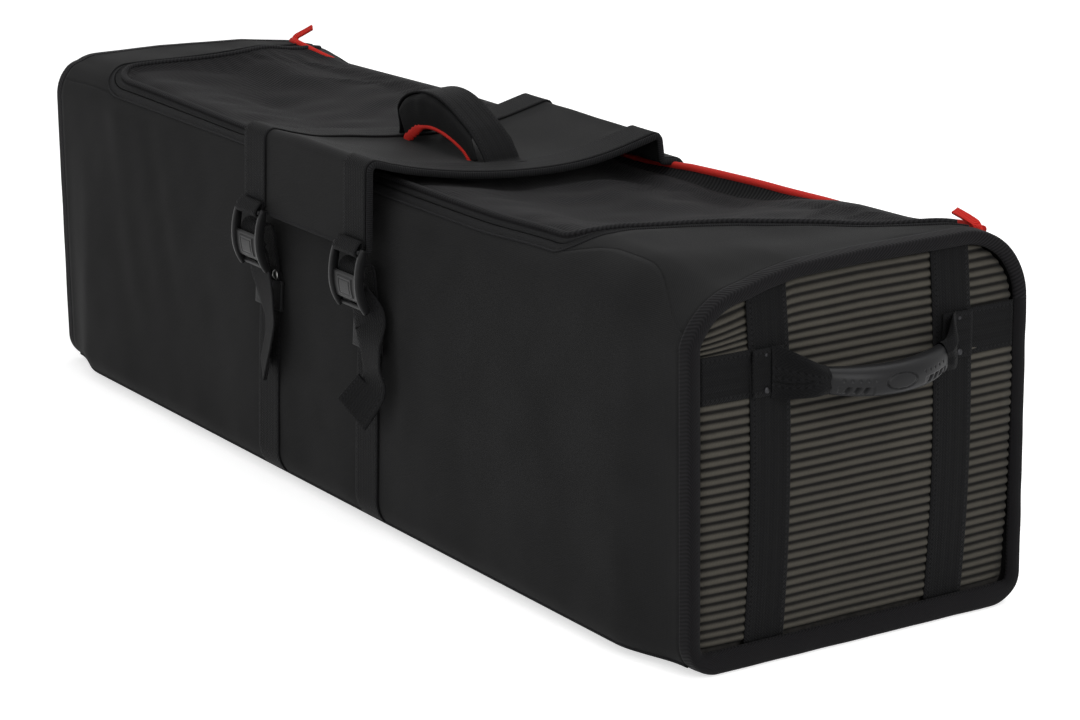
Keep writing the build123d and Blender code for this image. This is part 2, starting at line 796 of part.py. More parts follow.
for buckle_name, buckle_place in (("left", -strap_x), ("right", strap_x)):
    with BuildPart() as buckle:
        for rail_side in (-1, 1):
            with BuildSketch(Plane.YZ.offset(buckle_place + rail_side * (slot_half + rail_thickness / 2))):
                with BuildLine():
                    rail_outline()
                make_face()
            extrude(amount=rail_thickness / 2, both=True)
        with BuildSketch(Plane.YZ.offset(buckle_place)):
            with Locations(upper_bar, inner_bar, lower_bar):
                RegularPolygon(bar_radius, rivet_sides)
            with Locations((plate_depth, plate_level)):
                Rectangle(plate_thickness, plate_height)
        extrude(amount=slot_half + rail_thickness / 2, both=True)
        plate_face = Plane(
            origin=(buckle_place, plate_depth - plate_thickness / 2, plate_level),
            x_dir=(1, 0, 0),
            z_dir=(0, -1, 0),
        )
        with BuildSketch(plate_face):
            frame_size = plate_height * frame_share
            frame_room = frame_size - 2 * plate_recess
            Rectangle(frame_size, frame_size)
            Rectangle(frame_room, frame_room, mode=Mode.SUBTRACT)
        extrude(amount=plate_recess)
    finish(buckle, buckle_name + "_buckle")

    with BuildPart() as buckle_strap:
        stud_level = patch_top + stud_radius + stitch_lift
        wall_front = -half_depth - foot_flare / 2 - webbing
        rear_run = inner_bar[0] + strap_gap
        front_run = inner_bar[0] - strap_gap
        with BuildSketch(Plane.YZ.offset(buckle_place)):
            with BuildLine():
                Polyline(
                    (wall_front, stud_level - stud_radius),
                    (wall_front, stud_level + stud_radius),
                    (rear_run, inner_bar[1] - stud_radius),
                    (rear_run, inner_bar[1]),
                )
                ThreePointArc(
                    (rear_run, inner_bar[1]),
                    (inner_bar[0], inner_bar[1] + strap_gap),
                    (front_run, inner_bar[1]),
                )
                Line((front_run, inner_bar[1]), (front_run, inner_bar[1] - tail_length))
            trace(line_width=webbing)
            with Locations((front_run, inner_bar[1] - tail_length + hem_length / 2)):
                Rectangle(2 * webbing, hem_length)
        extrude(amount=webbing_width / 2, both=True)
    finish(buckle_strap, buckle_name + "_buckle_strap")

    with BuildPart() as studs:
        stud_face = Plane(
            origin=(buckle_place, wall_front - webbing / 2 - seat, stud_level),
            x_dir=(1, 0, 0),
            z_dir=(0, -1, 0),
        )
        for place in GridLocations(stud_spacing, stud_spacing, 2, 1):
            for level, share in ((0, 1), (stud_height, rivet_top_share)):
                with BuildSketch(stud_face.offset(level)):
                    with Locations(place):
                        RegularPolygon(share * stud_radius, rivet_sides)
            loft(ruled=True)
    finish(studs, buckle_name + "_strap_studs")

# Top handle: sewn feet on the flap and an arch that folds down to the front or the back
handle_y = -top_handle_offset


def flap_level(y):
    """Height of the flap's outer face above the floor, on the sagging part."""
    rear, sag, shoulder, corner, foot = flap_line(flap_strap_lift + webbing / 2)
    a = ((shoulder[1] - sag[1]) / shoulder[0] - (rear[1] - sag[1]) / rear[0]) / (shoulder[0] - rear[0])
    b = (rear[1] - sag[1]) / rear[0] - a * rear[0]
    return sag[1] + a * y**2 + b * y


foot_front = flap_level(handle_y - top_handle_width / 2)
foot_rear = flap_level(handle_y + top_handle_width / 2)
foot_level = max(foot_front, foot_rear) + seat
handle_pivot = foot_level + webbing + room + top_handle_neck / 2
with BuildPart() as top_handle_feet:
    with BuildSketch(Plane.XY.offset(foot_level)):
        with Locations((-top_handle_span / 2, handle_y), (top_handle_span / 2, handle_y)):
            Rectangle(top_handle_foot, top_handle_width)
    extrude(amount=webbing)
finish(top_handle_feet, "top_handle_feet")

arch_radius = ((top_handle_span / 2) ** 2 + top_handle_rise**2) / (2 * top_handle_rise)
arch_centre = handle_pivot + top_handle_rise - arch_radius
pad_angle = top_handle_pad_share * degrees(asin(top_handle_span / 2 / arch_radius))


def arch_point(angle, lift):
    radius = arch_radius + lift
    return (radius * sin(radians(angle)), arch_centre + radius * cos(radians(angle)))


def arch_arc(angle, lift):
    return ThreePointArc(arch_point(-angle, lift), arch_point(0, lift), arch_point(angle, lift))


foot_angle = degrees(asin(top_handle_span / 2 / arch_radius))
with BuildPart() as top_handle_webbing:
    with BuildSketch(Plane.XZ.offset(top_handle_offset)):
        with BuildLine():
            arch_arc(foot_angle, 0)
        trace(line_width=top_handle_core)
        with Locations((-top_handle_span / 2, handle_pivot), (top_handle_span / 2, handle_pivot)):
            RegularPolygon(top_handle_neck / 2, loop_sides)
    extrude(amount=top_handle_width / 2, both=True)
    with BuildSketch(Plane.YZ.offset(-top_handle_span)):
        with BuildLine():
            spread = handle_pivot + top_handle_rise / 2
            neck_start = (handle_y - top_handle_neck / 2, handle_pivot)
            neck_stop = (handle_y + top_handle_neck / 2, handle_pivot)
            ThreePointArc(neck_start, (handle_y, handle_pivot - top_handle_neck / 2), neck_stop)
            Polyline(
                neck_stop,
                (handle_y + top_handle_width / 2, spread),
                (handle_y + top_handle_width / 2, handle_pivot + 2 * overrun),
                (handle_y - top_handle_width / 2, handle_pivot + 2 * overrun),
                (handle_y - top_handle_width / 2, spread),
                neck_start,
            )
        make_face()
    extrude(amount=2 * top_handle_span, mode=Mode.INTERSECT)
finish(top_handle_webbing, "top_handle_webbing")


def wrap_edge(below):
    """Lower edge of the wrap, or a line this far below it."""
    reach = arch_point(pad_angle, top_handle_core / 2 + seat + top_handle_pad)[0]
    end_level = handle_pivot + top_wrap_end - below
    middle = (0, handle_pivot + top_wrap_middle - below)
    return ThreePointArc((-reach, end_level), middle, (reach, end_level))


with BuildPart() as top_handle_wrap:
    with BuildSketch(Plane.XZ.offset(top_handle_offset)):
        with BuildLine():
            crest = arch_arc(pad_angle, top_handle_core / 2 + seat + top_handle_pad)
            edge = wrap_edge(0)
            Line(crest @ 0, edge @ 0)
            Line(crest @ 1, edge @ 1)
        make_face()
    extrude(amount=top_handle_width / 2 + seat + top_handle_pad, both=True)
    with BuildSketch(Plane.XZ.offset(top_handle_offset)):
        with BuildLine():
            inside = arch_arc(2 * pad_angle, top_handle_core / 2 + seat)
            Line(inside @ 0, inside @ 1)
        make_face()
        with Locations((0, (inside @ 0).Z - overrun)):
            Rectangle(2 * top_handle_span, 2 * overrun)
    extrude(amount=top_handle_width / 2 + seat, both=True, mode=Mode.SUBTRACT)
finish(top_handle_wrap, "top_handle_wrap")

with BuildPart() as top_handle_piping:
    for piping_side in (-1, 1):
        piping_y = handle_y + piping_side * (top_handle_width / 2 + seat + top_handle_pad / 2)
        with BuildLine(Plane.XZ.offset(-piping_y)) as piping_path:
            wrap_edge(top_piping_radius + seat)
        with BuildSketch(Plane(origin=piping_path.line @ 0, z_dir=piping_path.line % 0)):
            RegularPolygon(top_piping_radius, piping_sides)
        sweep(path=piping_path.line)
finish(top_handle_piping, "top_handle_piping")

# Zip sliders with hanging pulls, on the front run of the zip
zip_centre = shoulder_centre(-1, front_head)
slider_radius = head_radius - tape_depth + room
slider_seat = on_arc(-1, zip_centre, slider_radius, zip_angle)
slider_normal = (0, -cos(radians(zip_angle)), sin(radians(zip_angle)))
pull_lift = slider_height + bridge_height / 2
pull_pivot = on_arc(-1, zip_centre, slider_radius + pull_lift, zip_angle)
for slider_name, slider_side in (("left", -1), ("right", 1)):
    slider_x = slider_side * slider_place
    with BuildPart() as slider:
        slider_origin = (slider_x, slider_seat[0], slider_seat[1])
        base = Plane(origin=slider_origin, x_dir=(1, 0, 0), z_dir=slider_normal)
        with BuildSketch(base):
            with BuildLine():
                Polyline(
                    (-slider_side * slider_length / 2, -slider_width / 4),
                    (slider_side * slider_length / 2, -slider_width / 2),
                    (slider_side * slider_length / 2, slider_width / 2),
                    (-slider_side * slider_length / 2, slider_width / 4),
                    close=True,
                )
            make_face()
        plate_top = slider_height - pull_thickness
        cap_seat = pull_lift + pull_thickness
        extrude(amount=plate_top)
        with BuildSketch(base.offset(plate_top)):
            with GridLocations(slider_length * post_share, slider_length, 2, 1):
                Rectangle(pull_thickness, slider_width / 3)
        extrude(amount=cap_seat - plate_top)
        with BuildSketch(base.offset(cap_seat)):
            Rectangle(slider_length * post_share + pull_thickness, slider_width / 3)
        extrude(amount=pull_thickness)
    finish(slider, slider_name + "_zip_slider")

    with BuildPart() as pull:
        hang = Plane(
            origin=(slider_x, pull_pivot[0], pull_pivot[1]),
            x_dir=(1, 0, 0),
            z_dir=(0, -cos(radians(pull_tilt)), sin(radians(pull_tilt))),
        )
        with BuildSketch(hang.offset(-pull_thickness / 2)):
            with Locations((0, -pull_width / 2)):
                Rectangle(pull_thickness * 2, pull_width + pull_thickness)
            with Locations((0, -(pull_length + pull_width) / 2)):
                Rectangle(pull_width, pull_length - pull_width)
            with Locations((0, -pull_length * pull_hole_share)):
                Rectangle(pull_width / 3, pull_width / 3, mode=Mode.SUBTRACT)
        extrude(amount=pull_thickness)
        with BuildSketch(Plane.YZ.offset(slider_x)):
            with Locations(pull_pivot):
                RegularPolygon(pull_thickness / 2, piping_sides)
        extrude(amount=(slider_length * post_share - pull_thickness) / 2 - room, both=True)
    finish(pull, slider_name + "_zip_pull")
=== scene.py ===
"""Looks of a long padded hardware bag: a soft, sagging body between two stiff, ribbed and bound ends,
a zipped mesh lid, and a saddle flap held down at the front by two ladder buckles."""

import math

import bmesh
import bpy
import numpy as np
from mathutils import Matrix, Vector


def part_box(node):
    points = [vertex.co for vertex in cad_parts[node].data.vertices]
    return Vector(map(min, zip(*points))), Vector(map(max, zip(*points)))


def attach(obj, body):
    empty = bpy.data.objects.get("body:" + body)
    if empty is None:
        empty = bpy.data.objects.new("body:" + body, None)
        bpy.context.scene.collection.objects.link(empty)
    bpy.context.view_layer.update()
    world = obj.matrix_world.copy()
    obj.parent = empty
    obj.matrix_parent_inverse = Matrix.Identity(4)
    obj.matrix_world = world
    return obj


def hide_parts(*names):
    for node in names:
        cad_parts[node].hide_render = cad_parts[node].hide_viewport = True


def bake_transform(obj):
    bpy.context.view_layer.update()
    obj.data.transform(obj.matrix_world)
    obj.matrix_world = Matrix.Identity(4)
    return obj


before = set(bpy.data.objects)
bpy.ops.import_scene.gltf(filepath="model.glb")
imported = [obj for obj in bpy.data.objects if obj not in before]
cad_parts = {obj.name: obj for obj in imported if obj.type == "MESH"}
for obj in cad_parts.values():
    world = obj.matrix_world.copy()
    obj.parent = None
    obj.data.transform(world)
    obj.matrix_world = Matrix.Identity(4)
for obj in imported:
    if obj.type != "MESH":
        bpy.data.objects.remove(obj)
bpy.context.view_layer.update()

MM = 0.001


def mm(*values):
    """Lengths in metres from lengths in millimetres."""
    return np.array(values) * MM


def box_middle(node, axis):
    """Middle of a node's box along an axis."""
    low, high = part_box(node)
    return (low[axis] + high[axis]) / 2


SIDES = ((-1, "left"), (1, "right"))
WALLS = ((-1, "front"), (1, "back"))

# Sizes of the bag, from the frame
binding_low, binding_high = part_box("right_end_binding")
BODY = binding_low[0]  # half the length of the soft body
DEPTH = binding_high[1]  # half the depth of the ends
HEIGHT = binding_high[2]
FLARE = -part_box("front_panel")[0][1] - DEPTH  # how far the long walls stand out at their foot
FLARE_RUN = 75 * MM  # length over which this runs out at an end

HEAD_R = 45 * MM  # front shoulder
REAR_R = 64 * MM  # rounder rear corner of the ends
FOOT_R = 28 * MM
SEAM_ANGLE = math.radians(45)  # place of the foot's seam round its corner
FRONT_TOP = HEIGHT - 6 * MM
END_TOP = HEIGHT - 0.4 * MM  # top of the fabric where it meets the bindings
WALL = 7 * MM
SKIN = 4 * MM  # lid and gussets
WEB_W = 38 * MM
WEB_T = 1.6 * MM
HANDLE_WEB_W = 36 * MM

# Zip line, seen from above
ZIP_Y = DEPTH - 10 * MM
ZIP_HALF = 5.5 * MM
CORNER_R = 60 * MM
FRONT_HALF = 415 * MM
REAR_HALF = 540 * MM
HINGE_Y = DEPTH - 25 * MM
SLANT = (REAR_HALF - FRONT_HALF) / (HINGE_Y + ZIP_Y)
SLANT_ANGLE = math.atan(SLANT)
CORNER_X = FRONT_HALF - CORNER_R * (1 / math.cos(SLANT_ANGLE) - math.tan(SLANT_ANGLE))
CORNER_Y = -ZIP_Y + CORNER_R

# Rear ridge: it sags and is drawn forward by the load, and rises to the ends
RIDGE_Y = HINGE_Y - 8 * MM
LID_REAR = RIDGE_Y - 12 * MM
RIDGE_PLACES = mm(-522, -396, -316, -239, -165, -112, 0, 70, 112, 140, 176, 237, 295, 352, 407, 460, 511)
RIDGE_LEVELS = mm(281, 284, 286, 287, 287, 284, 282, 283, 287, 290, 291.5, 293.5, 295.5, 297, 298.5, 300, 303)
LID_PLACES = mm(-522, -396, -316, -239, -165, -112, -60, 60, 107, 154, 188, 226, 267, 317, 365, 399, 477, 527)
LID_LEVELS = mm(292, 295, 297, 299, 299, 297, 286, 279, 281, 282, 281, 282, 287, 298, 306, 309, 311, 316)

# Places of the straps
STRAP_X = box_middle("right_front_strap", 0)
END_STRAP_Y = box_middle("right_end_strap_rear", 1)
BAND_Z = box_middle("right_end_band", 2)
FLAP_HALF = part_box("flap_panel")[1][0]


def smooth(low, high, value):
    t = np.clip((np.asarray(value, float) - low) / (high - low), 0, 1)
    return t * t * (3 - 2 * t)


def ripple(a, b, scale, seed, waves=7):
    """Smooth random field, about -1 to 1, whose features are about scale metres across."""
    draw = np.random.default_rng(seed)
    total = np.zeros(np.broadcast(a, b).shape)
    for _ in range(waves):
        turn = draw.uniform(0, 2 * np.pi)
        size = draw.uniform(0.6, 1.6) * scale
        phase = draw.uniform(0, 2 * np.pi)
        total = total + np.sin((a * math.cos(turn) + b * math.sin(turn)) * 2 * np.pi / size + phase)
    return total / math.sqrt(waves)


# Meshes


def spots(*coordinates):
    """Points from their coordinates, each one a value, a row or a column."""
    return np.stack(np.broadcast_arrays(*coordinates), axis=-1)


def at_x(x, flat):
    """Points or directions at this x from their (y, z)."""
    return spots(x, flat[..., 0], flat[..., 1])


def unit(v):
    return v / np.maximum(np.linalg.norm(v, axis=-1, keepdims=True), 1e-12)


def grid_normals(points):
    across = np.gradient(points, axis=0)
    along = np.gradient(points, axis=1)
    return unit(np.cross(across, along))


def run_length(points, axis):
    """Distance along a grid's lines, from their first points."""
    steps = np.linalg.norm(np.diff(points, axis=axis), axis=-1)
    pad = [(0, 0), (0, 0)]
    pad[axis] = (1, 0)
    return np.cumsum(np.pad(steps, pad), axis=axis)


def make_mesh(name, vertices, faces, uvs, material):
    mesh = bpy.data.meshes.new(name)
    mesh.from_pydata([tuple(v) for v in vertices], [], faces)
    layer = mesh.uv_layers.new(name="UVMap")
    loops = np.empty(len(mesh.loops), dtype=np.int32)
    mesh.loops.foreach_get("vertex_index", loops)
    layer.data.foreach_set("uv", np.asarray(uvs, np.float32)[loops].ravel())
    mesh.polygons.foreach_set("use_smooth", np.ones(len(mesh.polygons), dtype=bool))
    mesh.materials.append(material)
    obj = bpy.data.objects.new(name, mesh)
    bpy.context.collection.objects.link(obj)
    return obj


def grid(name, points, material, outward, uv=None, thickness=0.0, mark=None):
    """Surface through a grid of points that faces outward, with UVs in metres."""
    rows, columns = points.shape[:2]
    normals = grid_normals(points)
    middle = normals[rows // 2, columns // 2]
    turned = float(np.dot(middle, outward)) < 0
    index = np.arange(rows * columns).reshape(rows, columns)
    quads = np.stack([index[:-1, :-1], index[1:, :-1], index[1:, 1:], index[:-1, 1:]], axis=-1).reshape(-1, 4)
    if turned:
        quads = quads[:, ::-1]
    if uv is None:
        u = run_length(points, 0)
        uv = spots(u - u[rows // 2], run_length(points, 1))
    obj = make_mesh(name, points.reshape(-1, 3), quads.tolist(), uv.reshape(-1, 2), material)
    if mark is not None:
        attribute = obj.data.attributes.new("mark", "FLOAT", "POINT")
        attribute.data.foreach_set("value", np.asarray(mark, np.float32).ravel())
    if thickness:
        shell = obj.modifiers.new("thickness", "SOLIDIFY")
        shell.thickness = thickness
        shell.offset = -1
    return obj


def sweep(name, path, normals, section, material, widths=None):
    """A flat or round section carried along a path. The section's points are (across, up) with up along
    the normals, and its UVs are the length along the path and the place across."""
    path = np.asarray(path, float)
    normals = unit(np.broadcast_to(np.asarray(normals, float), path.shape))
    tangents = unit(np.gradient(path, axis=0))
    normals = unit(normals - tangents * np.sum(tangents * normals, axis=-1, keepdims=True))
    sides = np.cross(tangents, normals)
    section = np.asarray(section, float)
    count, around = len(path), len(section)
    scale = np.ones(count) if widths is None else np.asarray(widths, float)
    points = (
        path[:, None]
        + sides[:, None] * (section[None, :, :1] * scale[:, None, None])
        + normals[:, None] * section[None, :, 1:]
    )
    length = np.concatenate([[0], np.cumsum(np.linalg.norm(np.diff(path, axis=0), axis=1))])
    uv = spots(length[:, None], section[None, :, 0])
    faces = []
    for i in range(count - 1):
        a, b = i * around, (i + 1) * around
        for j in range(around):
            k = (j + 1) % around
            faces.append((a + j, b + j, b + k, a + k))
    faces.append(tuple(range(around)))
    faces.append(tuple(range(count * around - 1, (count - 1) * around - 1, -1)))
    obj = make_mesh(name, points.reshape(-1, 3), faces, uv.reshape(-1, 2), material)
    fix_normals(obj)
    return obj


def fix_normals(obj):
    """Turns every face outward."""
    work = bmesh.new()
    work.from_mesh(obj.data)
    bmesh.ops.recalc_face_normals(work, faces=work.faces)
    work.to_mesh(obj.data)
    work.free()


def join(name, *objs):
    """One object from several, under a new name."""
    bpy.ops.object.select_all(action="DESELECT")
    for obj in objs:
        obj.select_set(True)
    bpy.context.view_layer.objects.active = objs[0]
    bpy.ops.object.join()
    objs[0].name = name
    objs[0].data.name = name
    return objs[0]


def flat_section(width, thickness, steps=10):
    """Webbing in section: flat, with soft, slightly thicker edges."""
    half, up = width / 2, thickness / 2
    top = [(half * s, up * (1 + 0.18 * abs(s) ** 6)) for s in np.linspace(-0.97, 0.97, steps)]
    edge = [(half, up * 0.5), (half, -up * 0.5)]
    low = [(x, -y) for x, y in reversed(top)]
    return top + edge + low + [(-x, y) for x, y in reversed(edge)]


def round_section(radius, sides=12, flat=1.0):
    return [
        (radius * math.cos(2 * math.pi * i / sides), flat * radius * math.sin(2 * math.pi * i / sides))
        for i in range(sides)
    ]


def resample(path, step):
    """The same line with evenly spaced points."""
    path = np.asarray(path, float)
    length = np.concatenate([[0], np.cumsum(np.linalg.norm(np.diff(path, axis=0), axis=1))])
    count = max(3, int(round(length[-1] / step)) + 1)
    places = np.linspace(0, length[-1], count)
    return np.stack([np.interp(places, length, path[:, i]) for i in range(path.shape[1])], axis=-1)


def rounded(corners, radii, steps=8):
    """Polyline with arcs at its inner corners."""
    corners = [np.asarray(c, float) for c in corners]
    line = [corners[0]]
    for before, corner, after, radius in zip(corners[:-2], corners[1:-1], corners[2:], radii):
        back, ahead = unit(before - corner), unit(after - corner)
        half = math.acos(float(np.clip(np.dot(back, ahead), -1, 1))) / 2
        if math.pi / 2 - half < 0.01 or radius == 0:
            line.append(corner)
            continue
        reach = radius / math.tan(half)
        centre = corner + unit(back + ahead) * radius / math.sin(half)
        start, stop = corner + back * reach - centre, corner + ahead * reach - centre
        turn = math.acos(float(np.clip(np.dot(unit(start), unit(stop)), -1, 1)))
        for share in np.linspace(0, 1, steps):
            arm = start * math.sin((1 - share) * turn) + stop * math.sin(share * turn)
            line.append(centre + arm / math.sin(turn))
    line.append(corners[-1])
    return np.array(line)


def dome(name, centre, axis, radius, height, material, sides=20):
    """A low rivet head: a turned profile with a rolled rim."""
    profile = [(1.0, 0.0), (1.0, 0.25), (0.94, 0.42), (0.8, 0.62), (0.6, 0.82), (0.35, 0.96), (0.12, 1.0)]
    axis = unit(np.asarray(axis, float))
    side = unit(np.cross(axis, (0.3, 0.2, 0.9)))
    other = np.cross(axis, side)
    vertices, faces, uvs = [], [], []
    for share, level in profile:
        for i in range(sides):
            a = 2 * math.pi * i / sides
            spot = np.asarray(centre) + axis * level * height
            spot = spot + (side * math.cos(a) + other * math.sin(a)) * radius * share
            vertices.append(spot)
            uvs.append((a * radius, share * radius))
    for ring in range(len(profile) - 1):
        for i in range(sides):
            j = (i + 1) % sides
            a, b = ring * sides, (ring + 1) * sides
            faces.append((a + i, a + j, b + j, b + i))
    faces.append(tuple(range((len(profile) - 1) * sides, len(profile) * sides)))
    faces.append(tuple(range(sides - 1, -1, -1)))
    obj = make_mesh(name, vertices, faces, uvs, material)
    fix_normals(obj)
    return obj


# Materials: every weave is worked out from UVs in metres, so its threads keep their real size


class Shader:
    """A material under construction: add() makes a node, and its inputs may be values or sockets."""

    def __init__(self, name):
        self.material = bpy.data.materials.new(name)
        self.material.use_nodes = True
        self.nodes = self.material.node_tree.nodes
        self.links = self.material.node_tree.links
        self.bsdf = self.nodes["Principled BSDF"]
        uv = self.add("ShaderNodeUVMap")
        uv.uv_map = "UVMap"
        parts = self.add("ShaderNodeSeparateXYZ", {0: uv.outputs[0]})
        self.u, self.v = parts.outputs[0], parts.outputs[1]
        self.where = self.add("ShaderNodeTexCoord").outputs["Object"]

    def add(self, kind, inputs=None, **settings):
        node = self.nodes.new(kind)
        for key, value in settings.items():
            setattr(node, key, value)
        for key, value in (inputs or {}).items():
            self.put(node.inputs[key], value)
        return node

    def put(self, socket, value):
        if isinstance(value, bpy.types.NodeSocket):
            self.links.new(value, socket)
        else:
            socket.default_value = value

    def math(self, operation, a, b=0.0, c=0.0):
        return self.add("ShaderNodeMath", {0: a, 1: b, 2: c}, operation=operation).outputs[0]

    def times(self, a, b):
        return self.math("MULTIPLY", a, b)

    def minus(self, a, b):
        return self.math("SUBTRACT", a, b)

    def plus(self, a, b):
        return self.math("ADD", a, b)

    def wave(self, place, pitch, shift=0.0):
        """0 to 1 and back over each pitch."""
        turn = self.math("MULTIPLY_ADD", place, 2 * math.pi / pitch, shift)
        return self.math("MULTIPLY_ADD", self.math("SINE", turn), 0.5, 0.5)

    def diagonal(self, pitch, slope):
        return self.wave(self.math("MULTIPLY_ADD", self.v, slope, self.u), pitch * math.sqrt(1 + slope**2))

    def noise(self, scale, detail=3.0, rough=0.6):
        inputs = {"Vector": self.where, "Scale": scale, "Detail": detail, "Roughness": rough}
        return self.add("ShaderNodeTexNoise", inputs).outputs[0]

    def step(self, value, low, high):
        node = self.add("ShaderNodeMapRange", {0: value, 1: low, 2: high, 3: 0.0, 4: 1.0})
        node.interpolation_type = "SMOOTHSTEP"
        return node.outputs[0]

    def mix(self, share, a, b):
        """Colour a where share is 0 and b where it is 1."""
        node = self.add("ShaderNodeMix", data_type="RGBA")
        self.put(node.inputs[0], share)
        for key, value in ((6, a), (7, b)):
            self.put(node.inputs[key], (*value, 1.0) if isinstance(value, tuple) else value)
        return node.outputs[2]

    def over(self, base, share, amount, colour):
        """Colour laid over a base, by this amount where share is 1."""
        return self.mix(self.times(share, amount), base, colour)

    def blot(self, scale, detail=3.0):
        """Soft patches for uneven dye."""
        return self.step(self.noise(scale, detail), 0.3, 0.7)

    def bump(self, height, distance, strength=1.0, after=None):
        node = self.add("ShaderNodeBump", {"Height": height, "Distance": distance, "Strength": strength})
        if after is not None:
            self.links.new(after, node.inputs["Normal"])
        return node.outputs[0]

    def done(self, colour, rough, normal=None, **fixed):
        self.put(self.bsdf.inputs["Base Color"], (*colour, 1.0) if isinstance(colour, tuple) else colour)
        self.put(self.bsdf.inputs["Roughness"], rough)
        if normal is not None:
            self.links.new(normal, self.bsdf.inputs["Normal"])
        for key, value in fixed.items():
            self.bsdf.inputs[key.replace("_", " ")].default_value = value
        return self.material


def tint(colour, factor):
    return tuple(min(1.0, c * factor) for c in colour)


CLOTH = dict(Specular_IOR_Level=0.05, Sheen_Weight=0.02, Sheen_Roughness=0.5)


def woven(name, colour, pitch, depth, rough=0.8, contrast=0.35, folds=0.0):
    """Plain weave: threads over and under each other both ways, with lint and uneven dye."""
    s = Shader(name)
    warp = s.wave(s.u, pitch)
    weft = s.wave(s.v, pitch)
    thread = s.times(warp, weft)
    blot = s.blot(9.0, 2.0)
    lint = s.step(s.noise(420.0, 2.0), 0.66, 0.78)
    base = s.mix(blot, tint(colour, 0.86), tint(colour, 1.16))
    base = s.over(base, thread, contrast, tint(colour, 1.9))
    base = s.over(base, lint, 0.18, tint(colour, 3.0))
    normal = s.bump(thread, depth)
    if folds:
        normal = s.bump(s.noise(22.0, 3.0, 0.5), folds, 1.0, normal)
    return s.done(base, rough, normal, **CLOTH)


def twill(name, colour, crest_highlight, pitch, slope, depth, rough=0.7):
    """Raised diagonal ribs with fine threads across them, their crests painted lighter as a highlight."""
    s = Shader(name)
    rib = s.diagonal(pitch, slope)
    cross = s.wave(s.math("MULTIPLY_ADD", s.u, -slope, s.v), pitch * 0.55)
    height = s.math("MULTIPLY_ADD", cross, 0.25, rib)
    blot = s.blot(14.0)
    # painted highlight: the rib crests are mixed towards the lighter colour
    base = s.mix(s.times(rib, s.math("MULTIPLY_ADD", cross, 0.4, 0.6)), colour, crest_highlight)
    base = s.over(base, blot, 0.25, tint(colour, 1.5))
    lint = s.step(s.noise(500.0, 2.0), 0.68, 0.8)
    base = s.over(base, lint, 0.15, tint(crest_highlight, 1.6))
    return s.done(base, rough, s.bump(height, depth), **CLOTH)


def webbing(name, colour, width, pitch=2.4 * MM):
    """Flat webbing: herringbone ribs along it, woven edges painted lighter as a highlight, and a stitched
    line inside each edge in a groove painted darker as shade.
    """
    s = Shader(name)
    place = s.math("ABSOLUTE", s.v)
    half = width / 2
    chevron = s.math("PINGPONG", s.v, width / 8)
    rib = s.wave(s.plus(s.u, chevron), pitch)
    cords = s.wave(s.v, width / 13)
    edge = s.step(place, half - 3.0 * MM, half - 2.2 * MM)
    groove = s.times(s.step(place, half - 4.6 * MM, half - 3.8 * MM), s.minus(1.0, edge))
    dash = s.step(s.wave(s.u, 4.2 * MM), 0.3, 0.45)
    thread = s.times(groove, dash)
    height = s.math("MULTIPLY_ADD", cords, 0.5, s.times(rib, 0.7))
    height = s.minus(height, s.times(groove, 0.9))
    height = s.plus(height, s.times(thread, 1.3))
    blot = s.blot(30.0)
    base = s.over(colour, rib, 0.55, tint(colour, 2.0))
    # painted shade in the stitched groove
    base = s.over(base, groove, 0.6, tint(colour, 0.45))
    # painted highlight on the raised edges
    base = s.over(base, edge, 0.5, tint(colour, 1.8))
    base = s.over(base, thread, 0.7, tint(colour, 2.6))
    base = s.over(base, blot, 0.2, tint(colour, 1.5))
    return s.done(base, 0.66, s.bump(height, 0.35 * MM), Specular_IOR_Level=0.05, Sheen_Weight=0.02)


def grosgrain(name, colour, crest_highlight, pitch, slope=0.0, depth=0.3 * MM, rough=0.7):
    """Ribs straight or slanted across a tape, their crests painted lighter as a highlight and the hollows
    between them darker as shade.
    """
    s = Shader(name)
    rib = s.diagonal(pitch, slope)
    lit_crests = s.step(rib, 0.25, 0.85)
    blot = s.blot(25.0)
    # painted highlight on the rib crests and painted shade in the hollows between them
    base = s.mix(lit_crests, colour, crest_highlight)
    base = s.over(base, blot, 0.3, tint(colour, 1.4))
    return s.done(base, rough, s.bump(rib, depth), **CLOTH)


def ribbed_end(name, groove, ridge):
    """Cover of the ends: brushed ridges painted pale as a highlight and grooves painted dark as shade, as the
    mesh's own ribs say.
    """
    s = Shader(name)
    mark = s.add("ShaderNodeAttribute", attribute_name="mark").outputs["Fac"]
    fibre = s.wave(s.u, 1.3 * MM)
    patchy = s.noise(60.0, 4.0, 0.7)
    share = s.step(s.math("MULTIPLY_ADD", patchy, 0.3, mark), 0.35, 1.15)
    # painted shade and highlight: the colour runs from the dark groove colour to the pale ridge colour with
    # the ribs' height
    base = s.mix(share, groove, ridge)
    base = s.over(base, fibre, 0.3, tint(groove, 1.3))
    wear = s.step(s.noise(7.0, 3.0), 0.45, 0.75)
    base = s.mix(s.times(s.times(wear, share), 0.3), base, tint(ridge, 1.45))
    height = s.math("MULTIPLY_ADD", fibre, 0.5, s.noise(700.0, 2.0))
    return s.done(base, 0.85, s.bump(height, 0.15 * MM), **CLOTH)


